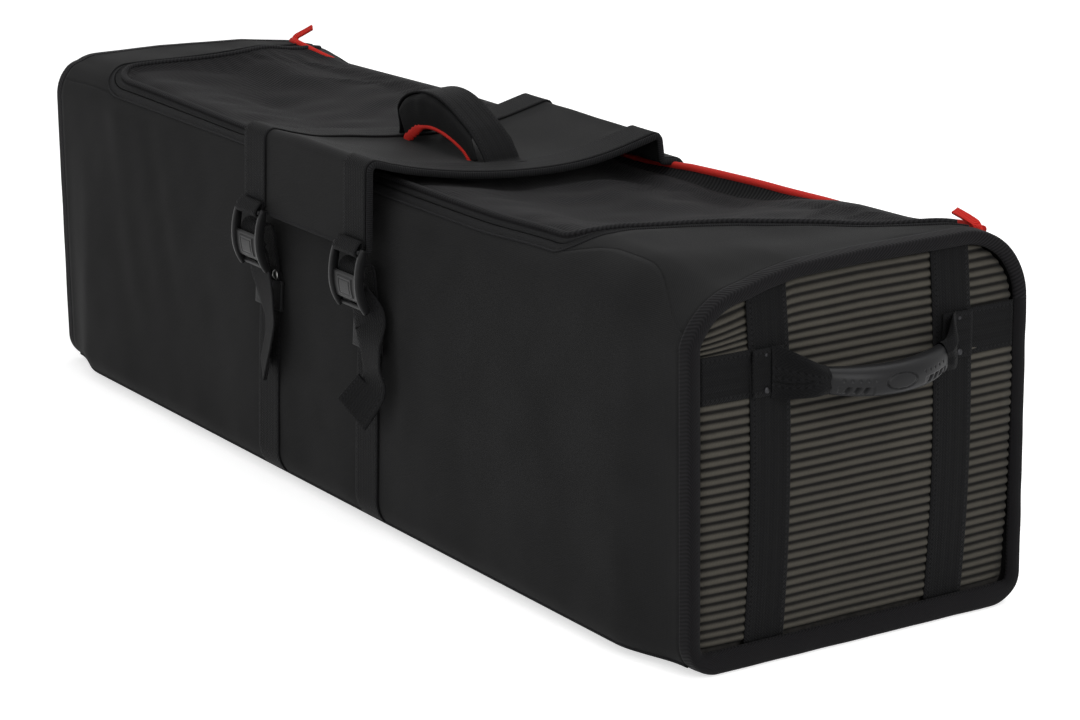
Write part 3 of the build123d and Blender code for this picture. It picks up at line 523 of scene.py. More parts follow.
def moulded(name, colour, rough=0.42, grain=0.05 * MM):
    """Moulded plastic with a fine spark-eroded grain, faint scuffs and its sharp edges painted lighter as a
    highlight.
    """
    s = Shader(name)
    speck = s.noise(1400.0, 2.0)
    scuff = s.step(s.noise(45.0, 5.0, 0.75), 0.5, 0.8)
    edge = s.step(s.add("ShaderNodeNewGeometry").outputs["Pointiness"], 0.52, 0.62)
    base = s.over(colour, scuff, 0.35, tint(colour, 1.5))
    # painted highlight: edges found by pointiness are lightened
    base = s.over(base, edge, 0.5, tint(colour, 1.9))
    gloss = s.math("MULTIPLY_ADD", scuff, 0.16, rough - 0.06)
    return s.done(base, gloss, s.bump(speck, grain), Specular_IOR_Level=0.17)


def metal(name, colour, rough=0.28):
    s = Shader(name)
    scratch = s.noise(260.0, 4.0, 0.7)
    tarnish = s.step(s.noise(90.0, 3.0), 0.35, 0.8)
    base = s.over(colour, tarnish, 0.4, tint(colour, 0.6))
    gloss = s.math("MULTIPLY_ADD", scratch, 0.25, rough - 0.1)
    return s.done(base, gloss, s.bump(scratch, 0.02 * MM), Metallic=1.0)


def board(name, colour):
    s = Shader(name)
    fibre = s.noise(160.0, 5.0, 0.7)
    base = s.mix(s.step(fibre, 0.3, 0.75), tint(colour, 0.7), tint(colour, 1.3))
    return s.done(base, 0.85, s.bump(fibre, 0.1 * MM), Specular_IOR_Level=0.2)


def quilted(name, colour, cell):
    """Lining cloth, sewn through in diamonds, the sewn dips painted darker as shade and the puffs lighter as
    a highlight.
    """
    s = Shader(name)
    one = s.wave(s.plus(s.u, s.v), cell)
    two = s.wave(s.minus(s.u, s.v), cell)
    puff = s.math("POWER", s.times(one, two), 0.35)
    thread = s.times(s.wave(s.u, 1.4 * MM), s.wave(s.v, 1.4 * MM))
    # painted shade and highlight: the colour follows the height of the puffs
    base = s.mix(puff, tint(colour, 0.7), tint(colour, 1.15))
    height = s.math("MULTIPLY_ADD", thread, 0.06, puff)
    return s.done(base, 0.75, s.bump(height, 1.6 * MM), **CLOTH)


def zipper(name, colour):
    """Zip tape in a fine herringbone, with a row of coil under its inner edge, along which the tape is
    painted darker as shade.
    """
    s = Shader(name)
    chevron = s.math("PINGPONG", s.v, 1.6 * MM)
    rib = s.wave(s.plus(s.u, chevron), 1.5 * MM)
    inner = s.minus(1.0, s.step(s.math("ABSOLUTE", s.v), 1.2 * MM, 2.0 * MM))
    coil = s.times(s.step(s.wave(s.u, 1.9 * MM), 0.25, 0.6), inner)
    base = s.over(colour, rib, 0.5, tint(colour, 2.0))
    # painted shade along the inner edge, where the two tapes meet over the coil
    base = s.over(base, inner, 0.75, tint(colour, 0.3))
    base = s.over(base, coil, 0.5, tint(colour, 1.6))
    height = s.math("MULTIPLY_ADD", coil, 1.4, rib)
    return s.done(base, 0.65, s.bump(height, 0.3 * MM), **CLOTH)


def stitched_patch(name, colour, width, height):
    """Doubled webbing sewn down with a box and a cross, its sewn lines sunk in grooves painted darker as
    shade.
    """
    s = Shader(name)
    u = s.math("ABSOLUTE", s.u)
    v = s.math("ABSOLUTE", s.v)
    rib = s.wave(s.plus(s.u, s.math("PINGPONG", s.v, 2.4 * MM)), 2.4 * MM)
    inset = 3.5 * MM
    box = s.math("MAXIMUM", s.minus(u, width / 2 - inset), s.minus(v, height / 2 - inset))
    line = s.minus(1.0, s.step(s.math("ABSOLUTE", box), 0.5 * MM, 0.9 * MM))
    slope = (height / 2 - inset) / (width / 2 - inset)
    cross = s.math("ABSOLUTE", s.minus(v, s.times(u, slope)))
    cross = s.minus(1.0, s.step(cross, 0.5 * MM, 0.9 * MM))
    inside = s.math("LESS_THAN", box, 0.0)
    line = s.math("MAXIMUM", line, s.times(cross, inside))
    dash = s.step(s.wave(s.plus(s.u, s.v), 3.4 * MM), 0.2, 0.4)
    thread = s.times(line, dash)
    base = s.over(colour, rib, 0.5, tint(colour, 1.9))
    # painted shade in the grooves of the sewn lines
    base = s.over(base, line, 0.6, tint(colour, 0.5))
    base = s.over(base, thread, 0.8, tint(colour, 3.0))
    relief = s.minus(s.times(rib, 0.5), line)
    relief = s.plus(relief, s.times(thread, 1.2))
    return s.done(base, 0.65, s.bump(relief, 0.35 * MM), Specular_IOR_Level=0.2, Sheen_Weight=0.04)


SHELL = woven("shell_weave", (0.0122, 0.0122, 0.0124), 1.5 * MM, 0.12 * MM, folds=0.25 * MM)
FLAP_CLOTH = woven("flap_weave", (0.0122, 0.0122, 0.0124), 1.5 * MM, 0.14 * MM, rough=0.72)
BOTTOM_CLOTH = woven("bottom_weave", (0.009, 0.009, 0.009), 2.0 * MM, 0.2 * MM, rough=0.7)
# The second colour of the lid mesh and of its roll is a painted highlight on their rib crests.
LID_MESH = twill("lid_mesh", (0.0052, 0.0050, 0.0054), (0.0172, 0.0164, 0.0177), 3.0 * MM, 0.55, 0.45 * MM)
EDGE_ROLL = twill("lid_roll", (0.0065, 0.0064, 0.0068), (0.021, 0.0205, 0.022), 2.6 * MM, 1.2, 0.35 * MM)
# For the binding, flap edge, red edging and hinge tape, the second colour is a painted highlight on the rib
# crests.
BINDING = grosgrain("end_binding_ribs", (0.0055, 0.0053, 0.0058), (0.0125, 0.0118, 0.013), 2.9 * MM, 0.5)
FLAP_EDGE = grosgrain("flap_edge_ribs", (0.006, 0.006, 0.0065), (0.018, 0.018, 0.019), 1.8 * MM)
# Both webbings carry a painted highlight on their edges and painted shade in their stitched grooves.
STRAP = webbing("strap_webbing", (0.0048, 0.0048, 0.0051), WEB_W)
TOP_STRAP = webbing("handle_webbing", (0.0036, 0.0036, 0.0039), HANDLE_WEB_W)
# The groove colour of the ribbed cover is painted shade and its ridge colour a painted highlight.
RIBS = ribbed_end("ribbed_cover", (0.012, 0.0115, 0.011), (0.078, 0.072, 0.060))
RED = grosgrain("red_edging", (0.33, 0.011, 0.009), (0.62, 0.036, 0.024), 1.7 * MM, 0.3, 0.2 * MM, 0.6)
HINGE_TAPE = grosgrain(
    "hinge_tape_ribs", (0.003, 0.003, 0.0032), (0.011, 0.011, 0.0115), 5.0 * MM, depth=0.7 * MM
)
# The zip tape carries painted shade along its inner edge.
ZIP = zipper("zip_weave", (0.009, 0.009, 0.0095))
# The lining carries painted shade in its quilted dips.
LINING = quilted("lining_cloth", (0.02, 0.02, 0.021), 34 * MM)
PADDING = woven("handle_wrap_weave", (0.007, 0.007, 0.0072), 1.6 * MM, 0.2 * MM)
# The patch carries painted shade in its sewn grooves.
PATCH = stitched_patch("patch_webbing", (0.0046, 0.0046, 0.005), 48 * MM, 27 * MM)
# Both plastics carry a painted highlight along their sharp edges.
BUCKLE = moulded("buckle_plastic", (0.0082, 0.0082, 0.0086))
GRIP = moulded("grip_plastic", (0.0085, 0.0085, 0.0092), 0.42)
BRIGHT = metal("bright_rivet", (0.3, 0.3, 0.29))
DARK = metal("dark_slider", (0.035, 0.035, 0.037), 0.4)
BOARD = board("fibre_board", (0.03, 0.028, 0.026))


def web_strip(name, path, normals, thickness=WEB_T):
    """A length of the bag's webbing."""
    return sweep(name, path, normals, flat_section(WEB_W, thickness), STRAP)


def dress(obj, body, slot, *nodes):
    """The piece rides on a body and stands for these nodes. The slot is not used."""
    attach(obj, body)
    if nodes:
        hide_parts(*nodes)
    return obj


# Walls


def flare_at(x):
    return FLARE * (1 - smooth(BODY - FLARE_RUN, BODY, np.abs(x)))


def end_rise(x):
    """0 along the bag and 1 at its ends, where the top comes up to the bindings."""
    return smooth(BODY - 90 * MM, BODY - 4 * MM, np.abs(x))


SAG_RANGE = (0.24, 0.30)  # heights between which the ends' sag sets in


def end_sag(x, y, z):
    """How far the soft ends hang below their plain outline: at the front right and at the rear left."""
    places = mm(-165, -152, -143, -131, -108, -90, -62, 0)
    right = np.interp(y, places, mm(-21, -21, -20, -18, -13, -8, -3, -1))
    left = np.interp(y, mm(-165, -150, -140, -46, 47, 94, 117), mm(0, -2, -5, -5, -9, -15, -18))
    return np.where(x > 0, right, left) * end_rise(x) * smooth(*SAG_RANGE, z)


def front_corner(x):
    """Top level and radius of the front shoulder, which is lower and tighter under the flap."""
    places = mm(-400, -200, 200, 400)
    level = np.interp(x, places, mm(0, 7.5, 6, 0))
    radius = np.interp(x, places, mm(0, 11, 9, 0))
    return FRONT_TOP - level, HEAD_R - radius


def inward(x):
    """How far the front seam of the top lies in from its plain line, most near the right corner."""
    corner = 3 * smooth(0.24, 0.35, x) + 17 * smooth(0.355, 0.43, x)
    return (3.5 + corner) * (1 - smooth(0.47, BODY, np.abs(x))) * MM


def rear_radius(x):
    return HEAD_R + (REAR_R - HEAD_R) * end_rise(x)


def rear_top(x):
    """Top of the circle that the back wall's shoulder follows, and how far below it the ridge lies."""
    radius = rear_radius(x)
    drop = radius - np.sqrt(radius**2 - (RIDGE_Y + 2 * MM - DEPTH + radius) ** 2)
    high = np.interp(x, RIDGE_PLACES, RIDGE_LEVELS) - 1.5 * MM + drop
    return high + (END_TOP - high) * end_rise(x), drop


def ridge_level(x):
    high, drop = rear_top(x)
    return high - drop + 1.5 * MM + end_sag(x, RIDGE_Y, 0.30)


def wall_sheet(side, xs, lift=0.0, foot_start=-45.0, counts=(8, 44, 12)):
    """Outer face of a long wall from its foot seam up over the shoulder, or a layer above it."""
    x = np.asarray(xs, float)[:, None]
    rise = end_rise(x)
    if side < 0:
        low_top, radius = front_corner(x)
        end_depth = ZIP_Y + ZIP_HALF - inward(x)
        top = low_top + (END_TOP - low_top) * rise
    else:
        radius = rear_radius(x)
        end_depth = RIDGE_Y + 2 * MM
        top = rear_top(x)[0]
    shoulder = DEPTH - radius
    flare = flare_at(x)
    foot = np.radians(np.linspace(foot_start, 0, counts[0]))[None, :]
    y1 = DEPTH + flare - FOOT_R + FOOT_R * np.cos(foot)
    z1 = FOOT_R + FOOT_R * np.sin(foot) + 0 * x
    t = np.linspace(0, 1, counts[1] + 1)[None, 1:-1]
    centre = top - radius
    y2 = DEPTH + flare * (1 - t) ** 1.1 + 3 * MM * np.sin(np.pi * t) * (flare / FLARE)
    z2 = FOOT_R + t * (centre - FOOT_R) + 0 * x
    head = np.arccos((end_depth - shoulder) / radius) * np.linspace(0, 1, counts[2])[None, :]
    y3 = shoulder + radius * np.cos(head)
    z3 = centre + radius * np.sin(head)
    depth = np.concatenate([y1, y2, y3], axis=1)
    level = np.concatenate([z1, z2, z3], axis=1)
    level = level + end_sag(x, side * depth, level)
    points = spots(x, side * depth, level)
    if lift:
        normals = grid_normals(points)
        normals = normals * np.sign(normals[..., 1:2] * side + 1e-9)
        points = points + normals * lift
    return points


def border(points, reach=0.06):
    """0 at a grid's border and 1 inside it."""
    rows, columns = points.shape[:2]
    a = np.linspace(0, 1, rows)[:, None]
    b = np.linspace(0, 1, columns)[None, :]
    fade_a = smooth(0, reach, a) * smooth(0, reach, 1 - a)
    fade_b = smooth(0, reach * 2, b) * smooth(0, reach * 2, 1 - b)
    return fade_a * fade_b


def puff(points, outward, amounts):
    """Moves a grid's points along their own normals."""
    normals = grid_normals(points)
    middle = normals[points.shape[0] // 2, points.shape[1] // 2]
    if float(np.dot(middle, outward)) < 0:
        normals = -normals
    return points + normals * amounts[..., None]


def fold(x, z, place, lean, width, height):
    """Soft fold down a wall from a place at its top, leaning so far along the bag for each metre down."""
    off = (x - place - lean * (0.3 - z)) / width
    return height * np.exp(-(off**2)) * smooth(0.03, 0.16, z)


WALL_X = np.linspace(-BODY, BODY, 221)
for (side, wall_name), seed in zip(WALLS, (11, 12)):
    outward = (0, side, 0)
    sheet = wall_sheet(side, WALL_X)
    x, z = sheet[..., 0], sheet[..., 2]
    press = np.exp(-(((np.abs(x) - STRAP_X) / (26 * MM)) ** 2)) * smooth(0.27, 0.2, z)
    slack = 0.9 * MM * ripple(x, z * 0.7, 0.2, seed) + 0.2 * MM * ripple(x, z, 0.06, seed + 20)
    slack = slack + fold(x, z, 0.150, 0.02, 0.018, 2.2 * MM) + fold(x, z, 0.215, 0.12, 0.03, -1.2 * MM)
    slack = slack + fold(x, z, -0.43, 0.35, 0.022, 1.8 * MM) + fold(x, z, -0.36, 0.45, 0.02, -1.4 * MM)
    from_end = BODY - np.abs(x)
    tug = 0.35 * MM * np.sin(-from_end * 2 * np.pi / (34 * MM)) * np.exp(-from_end / (45 * MM))
    amounts = (slack + tug * smooth(0.02, 0.1, z) * smooth(0.3, 0.2, z)) * border(sheet) - 0.9 * MM * press
    sheet = puff(sheet, outward, amounts * border(sheet, 0.03))
    wall = grid(wall_name + "_wall", sheet, SHELL, outward, thickness=WALL)
    dress(wall, "shell", "shell_fabric", wall_name + "_panel")

bottom_y = np.linspace(-1, 1, 61)[None, :]
bottom_x = WALL_X[:, None]
foot_line = DEPTH + flare_at(bottom_x) - FOOT_R
seam_share = foot_line / (foot_line + FOOT_R * math.sin(SEAM_ANGLE))
inner = np.abs(bottom_y) <= seam_share
edge_share = (np.abs(bottom_y) - seam_share) / (1 - seam_share)
edge_angle = np.arcsin(np.clip(edge_share * math.sin(SEAM_ANGLE), 0, 1))
turned = np.sign(bottom_y) * (foot_line + FOOT_R * np.sin(edge_angle))
bottom_depth = np.where(inner, bottom_y * (foot_line / seam_share), turned)
bottom_z = np.where(inner, 0.0, FOOT_R * (1 - np.cos(edge_angle)))
bottom_sheet = spots(bottom_x, bottom_depth, bottom_z)
bottom = grid("bottom", bottom_sheet, BOTTOM_CLOTH, (0, 0, -1), thickness=WALL)
dress(bottom, "shell", "shell_fabric", "bottom_panel")

seam_x = np.linspace(-BODY, BODY, 161)
for side, seam_name in WALLS:
    spread = DEPTH + flare_at(seam_x) - FOOT_R * (1 - math.cos(SEAM_ANGLE))
    seam_path = spots(seam_x, side * spread, FOOT_R * (1 - math.sin(SEAM_ANGLE)))
    seam = sweep(seam_name + "_foot_seam", seam_path, (0, side, -1), round_section(1.6 * MM, 8), FLAP_EDGE)
    dress(seam, "shell", "binding")

# Top skin: the lid inside the zip and a gusset at each end


LID_LOW = 0.2925  # level of the lid's sagging middle
LID_RISE = 0.0225  # by which it comes up towards the ends


def top_level(x, y):
    """Height of the sagging top, which comes up to the outline of the ends."""
    rise = end_rise(x)
    low_top, radius = front_corner(x)
    head = low_top + (END_TOP - low_top) * rise
    shoulder = DEPTH - radius
    middle = LID_LOW + LID_RISE * np.where(x > 0, smooth(0.25, 0.41, x), smooth(0.34, 0.49, -x))
    rear = np.interp(x, LID_PLACES, LID_LEVELS)
    front_part = (low_top - middle) * smooth(-shoulder, -0.02, y)
    level = low_top - front_part + (rear - middle) * smooth(0.03, LID_REAR, y)
    behind = np.maximum(y, DEPTH - REAR_R) - DEPTH + REAR_R
    end_level = END_TOP - REAR_R + np.sqrt(np.maximum(REAR_R**2 - behind**2, 0))
    level = level + (end_level - level) * rise
    arc = head - radius + np.sqrt(np.maximum(radius**2 - (np.minimum(y, -shoulder) + shoulder) ** 2, 0))
    level = np.where(y < -shoulder, arc, level)
    return level + end_sag(x, y, level)


def drawn(x, y):
    """Where a point of the top lies once the fabric is drawn in at the right and out at the left corner."""
    places = mm(-155, -140, -120, -100, -50, -20, 16, 48, 80, 110)
    right = np.interp(y, places, mm(26, 38, 52, 60, 62, 58, 46, 34, 13, 0))
    left = np.interp(y, mm(-155, -110, -50, 0, 60), mm(60, 46, 24, 8, 0))
    right = right * smooth(0.25, 0.42, x) * (1 - smooth(0.50, BODY, x))
    left = left * smooth(0.25, 0.41, -x) * (1 - smooth(0.43, BODY, -x))
    x = x - right - left
    return x, y + inward(x) * smooth(-0.085, -0.14, y)


def half_width(y, grow):
    """Half the lid's width at a depth, with its outline grown by so much."""
    radius = CORNER_R + grow
    tangent = CORNER_Y - radius * math.sin(SLANT_ANGLE)
    arc = CORNER_X + np.sqrt(np.maximum(radius**2 - (np.minimum(y, CORNER_Y) - CORNER_Y) ** 2, 0))
    line = FRONT_HALF + SLANT * (y + ZIP_Y) + grow / math.cos(SLANT_ANGLE)
    return np.where(y < tangent, arc, line)


def zip_path(grow, run_count=64, front_count=188):
    """Points of the lid's outline, from its left rear end round the front to its right rear end."""
    radius = CORNER_R + grow
    arc = [
        (CORNER_X + radius * math.cos(a), CORNER_Y + radius * math.sin(a))
        for a in np.linspace(-math.pi / 2, -SLANT_ANGLE, 24)
    ]
    rear = (float(half_width(np.float64(LID_REAR), grow)), LID_REAR)
    start, stop = np.array(arc[-1]), np.array(rear)
    run = [tuple(start + (stop - start) * i / run_count) for i in range(1, run_count + 1)]
    right = arc + run
    flat = [(x, -ZIP_Y - grow) for x in np.linspace(-CORNER_X, CORNER_X, front_count)[1:-1]]
    return np.array([(-x, y) for x, y in reversed(right)] + flat + right)


def on_top(points, lift=0.0):
    """Points seen from above, laid on the top skin or so far above it."""
    x, y = drawn(points[..., 0], points[..., 1])
    return spots(x, y, top_level(x, y) + lift)


def front_rows(first, last, count):
    """Depths that crowd together at the front, where the outline turns."""
    share = np.linspace(0, 1, count)
    return first + (last - first) * (0.45 * share + 0.55 * share**2)


def coordinates(mesh):
    flat = np.empty(len(mesh.vertices) * 3)
    mesh.vertices.foreach_get("co", flat)
    return flat.reshape(-1, 3)


FABRIC = dict(
    quality=6, mass=0.35,
    tension_stiffness=18, compression_stiffness=18, shear_stiffness=8, bending_stiffness=1.2,
)


def settle(obj, frames, shrink, pressure, cap):
    """Cloth settles under a little pressure and weight, held at its border, and moves no further than cap."""
    start = coordinates(obj.data)
    cloth = obj.modifiers.new("cloth", "CLOTH")
    settings = cloth.settings
    for key, value in FABRIC.items():
        setattr(settings, key, value)
    settings.shrink_min = -shrink
    settings.use_pressure = pressure != 0
    settings.uniform_pressure_force = pressure
    settings.vertex_group_mass = "held"
    settings.effector_weights.gravity = 0.25
    cloth.point_cache.frame_start = 1
    cloth.point_cache.frame_end = frames
    for number in range(1, frames + 1):
        bpy.context.scene.frame_set(number)
    shape = obj.evaluated_get(bpy.context.evaluated_depsgraph_get()).to_mesh()
    moved = coordinates(shape) - start
    far = np.linalg.norm(moved, axis=1, keepdims=True)
    ends = start + moved * np.minimum(1, cap / np.maximum(far, 1e-9))
    obj.modifiers.remove(cloth)
    obj.data.vertices.foreach_set("co", ends.ravel())
    obj.data.update()
    bpy.context.scene.frame_set(1)


LID_ROWS, LID_COLUMNS = 62, 181
lid_y = front_rows(-ZIP_Y + ZIP_HALF, LID_REAR, LID_ROWS)[None, :]
lid_u = np.linspace(-1, 1, LID_COLUMNS)[:, None]
lid_x = lid_u * half_width(lid_y, -ZIP_HALF)
lid_sheet = on_top(spots(lid_x, lid_y))
fold_x, fold_y = lid_sheet[..., 0], lid_sheet[..., 1]
beyond = smooth(FLAP_HALF, FLAP_HALF + 12 * MM, np.abs(fold_x))
corner_x, corner_y = FLAP_HALF + 6 * MM, LID_REAR + 4 * MM
bearing = np.arctan2(corner_y - fold_y, np.abs(fold_x) - corner_x)
distance = np.hypot(np.abs(fold_x) - corner_x, corner_y - fold_y)
radial = np.sin(bearing * 17 + np.sign(fold_x)) * np.exp(-distance / 0.12) * smooth(0.0, 0.03, distance)
dip = -2.0 * MM * np.exp(-(((np.abs(fold_x) - 0.30) / 0.14) ** 2)) * np.exp(-(((fold_y + 0.02) / 0.07) ** 2))
wander = 1.3 * MM * ripple(fold_x, fold_y * 1.6, 0.13, 31) + 0.7 * MM * ripple(fold_x, fold_y, 0.05, 32)
relief = beyond * (1.7 * MM * radial + wander + dip) - (1 - beyond) * 1.5 * MM
lid_sheet[..., 2] += relief * border(lid_sheet, 0.05)
lid = grid("lid_skin", lid_sheet, LID_MESH, (0, 0, 1))
held = lid.vertex_groups.new(name="held")
rim = np.zeros((LID_COLUMNS, LID_ROWS), bool)
rim[:2, :] = rim[-2:, :] = rim[:, :2] = rim[:, -2:] = True
held.add(np.flatnonzero(rim.ravel()).tolist(), 1.0, "REPLACE")
settle(lid, 24, 0.012, 0.6, 5 * MM)
lid_body = lid.modifiers.new("thickness", "SOLIDIFY")
lid_body.thickness = SKIN
lid_body.offset = -1
dress(lid, "lid", "mesh_fabric", "lid_panel")

for side, gusset_name in SIDES:
    gusset_y = front_rows(-ZIP_Y - ZIP_HALF, LID_REAR, 60)[None, :]
    gusset_u = np.linspace(0, 1, 34)[:, None]
    near = half_width(gusset_y, ZIP_HALF)
    gusset_x = near + (BODY - near) * gusset_u
    sheet = on_top(spots(side * gusset_x, gusset_y))
    slack = 0.9 * MM * ripple(sheet[..., 0], sheet[..., 1], 0.09, 41 + side)
    sheet[..., 2] += slack * border(sheet, 0.12)
    gusset = grid(gusset_name + "_gusset", sheet, SHELL, (0, 0, 1), thickness=SKIN)
    dress(gusset, "shell", "shell_fabric", gusset_name + "_top_gusset")


def along_zip(name, grows, lifts, material):
    """Band along the zip, through these offsets from the zip line."""
    lines = [on_top(zip_path(g), lift) for g, lift in zip(grows, lifts)]
    points = np.stack(lines, axis=1)
    length = run_length(points, 0)
    uv = spots(length, np.asarray(grows, float))
    return grid(name, points, material, (0, 0, 1), uv=uv)


tape_grows = mm(-6.5, -5.4, -4.0, -2.6, -1.6, -1.0, -0.25)
tape_lifts = mm(-1.2, -0.7, -0.5, -0.3, 0.5, 0.6, -0.2)
lid_tape = along_zip("lid_zip_tape_skin", tape_grows, tape_lifts, ZIP)
dress(lid_tape, "lid", "zip_tape", "lid_zip_tape")
body_tape = along_zip("body_zip_tape_skin", -tape_grows[::-1], tape_lifts[::-1], ZIP)
dress(body_tape, "shell", "zip_tape", "body_zip_tape")

roll_path = on_top(zip_path(-ZIP_HALF - 2.6 * MM), 0.6 * MM)
roll = sweep("lid_edge_roll", roll_path, (0, 0, 1), round_section(3.0 * MM, 12, 0.8), EDGE_ROLL)
dress(roll, "lid", "mesh_fabric", "lid_piping")
rim_path = on_top(zip_path(ZIP_HALF + 0.7 * MM), 0.2 * MM)
rim_line = sweep("body_zip_edge", rim_path, (0, 0, 1), round_section(1.0 * MM, 8), FLAP_EDGE)
dress(rim_line, "shell", "binding")

# Rear ridge: ribbed tape, red piping and a folded tab at each end
tape_x = np.linspace(-BODY, BODY, 201)[:, None]
tape_t = np.linspace(0, 1, 9)[None, :]
lid_level = top_level(tape_x, np.full_like(tape_x, LID_REAR)) - 0.8 * MM
tape_y = LID_REAR + 0.3 * MM + (RIDGE_Y - 2 * MM - LID_REAR) * tape_t
tape_z = lid_level + (ridge_level(tape_x) + 1.0 * MM - lid_level) * tape_t**1.4
tape_sheet = spots(tape_x, tape_y, tape_z)
hinge = grid("hinge_tape_skin", tape_sheet, HINGE_TAPE, (0, -0.5, 1), thickness=1.6 * MM)
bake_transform(hinge)
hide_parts("hinge_tape")

piping_x = np.linspace(-BODY + 4 * MM, BODY - 4 * MM, 181)
piping_wave = 0.5 * MM * ripple(piping_x, 0 * piping_x, 0.11, 51)
drawn_in = smooth(0.45, 0.535, -piping_x)
piping_y = RIDGE_Y + piping_wave - 34 * MM * drawn_in
piping_z = ridge_level(piping_x) + 1.2 * MM + 0.4 * piping_wave
piping_z = piping_z + (top_level(piping_x, piping_y) + 1 * MM - piping_z) * drawn_in
piping_path = spots(piping_x, piping_y, piping_z)
piping = sweep("rear_red_piping", piping_path, (0, -0.5, 1), round_section(3.6 * MM, 14), RED)
dress(piping, "shell", "red_piping", "rear_piping")

tabs = []
for side in (-1, 1):
    spot = piping_path[0 if side < 0 else -1] - (side * 4 * MM, 0, 0)
    if side < 0:
        steps = [(0, 0, -2), (-3, 4, 4), (2, 12, 9), (8, 18, 14)]
    else:
        steps = [(0, 0, -2), (-4, -1, 4), (-14, -2, 7), (-28, -3, 10)]
    tab_path = rounded(spot + np.array(steps) * MM, (5 * MM, 9 * MM))
    section = flat_section(7 * MM, 2.0 * MM, 6)
    tabs.append(sweep("tab", resample(tab_path, 1 * MM), (0.3, -0.4, 0.8), section, RED))
rear_tabs = join("rear_red_tabs", *tabs)
dress(rear_tabs, "shell", "red_piping", "rear_tabs")

# Ends: ribbed covers, bindings, straps and bands
rib_low, rib_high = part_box("right_end_ribs")
RIB_COUNT = 39
RIB_RISE = 2.4 * MM
CROWN = 8 * MM
RIB_BASE = BODY + 3 * MM
RIB_INSET = 13 * MM  # of the cover's edge from the outline of the end
PILLOW = 2.2 * MM  # fall of the end face towards its upright edges
rib_span = rib_high[2] - rib_low[2]
rib_middle = (rib_high[2] + rib_low[2]) / 2
crown_radius = ((rib_span / 2) ** 2 + CROWN**2) / (2 * CROWN)


def crown_at(z):
    """How far out the grooves of an end face lie at a height."""
    return RIB_BASE + CROWN - crown_radius + np.sqrt(crown_radius**2 - (z - rib_middle) ** 2)


def end_width(z, inset, head):
    """Half width of an end's outline at a height, drawn in by inset, with this radius at its upper corner."""
    top, foot = head - inset, FOOT_R - inset
    half = DEPTH - inset
    upper = np.clip(z - (HEIGHT - inset - top), 0, top)
    lower = np.clip(inset + foot - z, 0, foot)
    head_loss = top - np.sqrt(np.maximum(top**2 - upper**2, 0))
    foot_loss = foot - np.sqrt(np.maximum(foot**2 - lower**2, 0))
    return half - head_loss - foot_loss


def rib_profile(z):
    """0 in the grooves and 1 on the ridges."""
    phase = (z - rib_low[2]) / rib_span * RIB_COUNT
    share = np.abs(np.sin(np.pi * phase))
    return share**1.1


def binding_path(steps=16):
    """Closed rounded outline of an end in (y, z)."""
    points = []
    corners = ((1, 1, REAR_R, 0), (-1, 1, HEAD_R, 90), (-1, -1, FOOT_R, 180), (1, -1, FOOT_R, 270))
    for side_y, side_z, radius, start in corners:
        cy = side_y * (DEPTH - radius)
        cz = HEIGHT - radius if side_z > 0 else radius
        for a in np.radians(np.linspace(start, start + 90, steps)):
            points.append((cy + radius * math.cos(a), cz + radius * math.sin(a)))
    return np.array(points + points[:1])


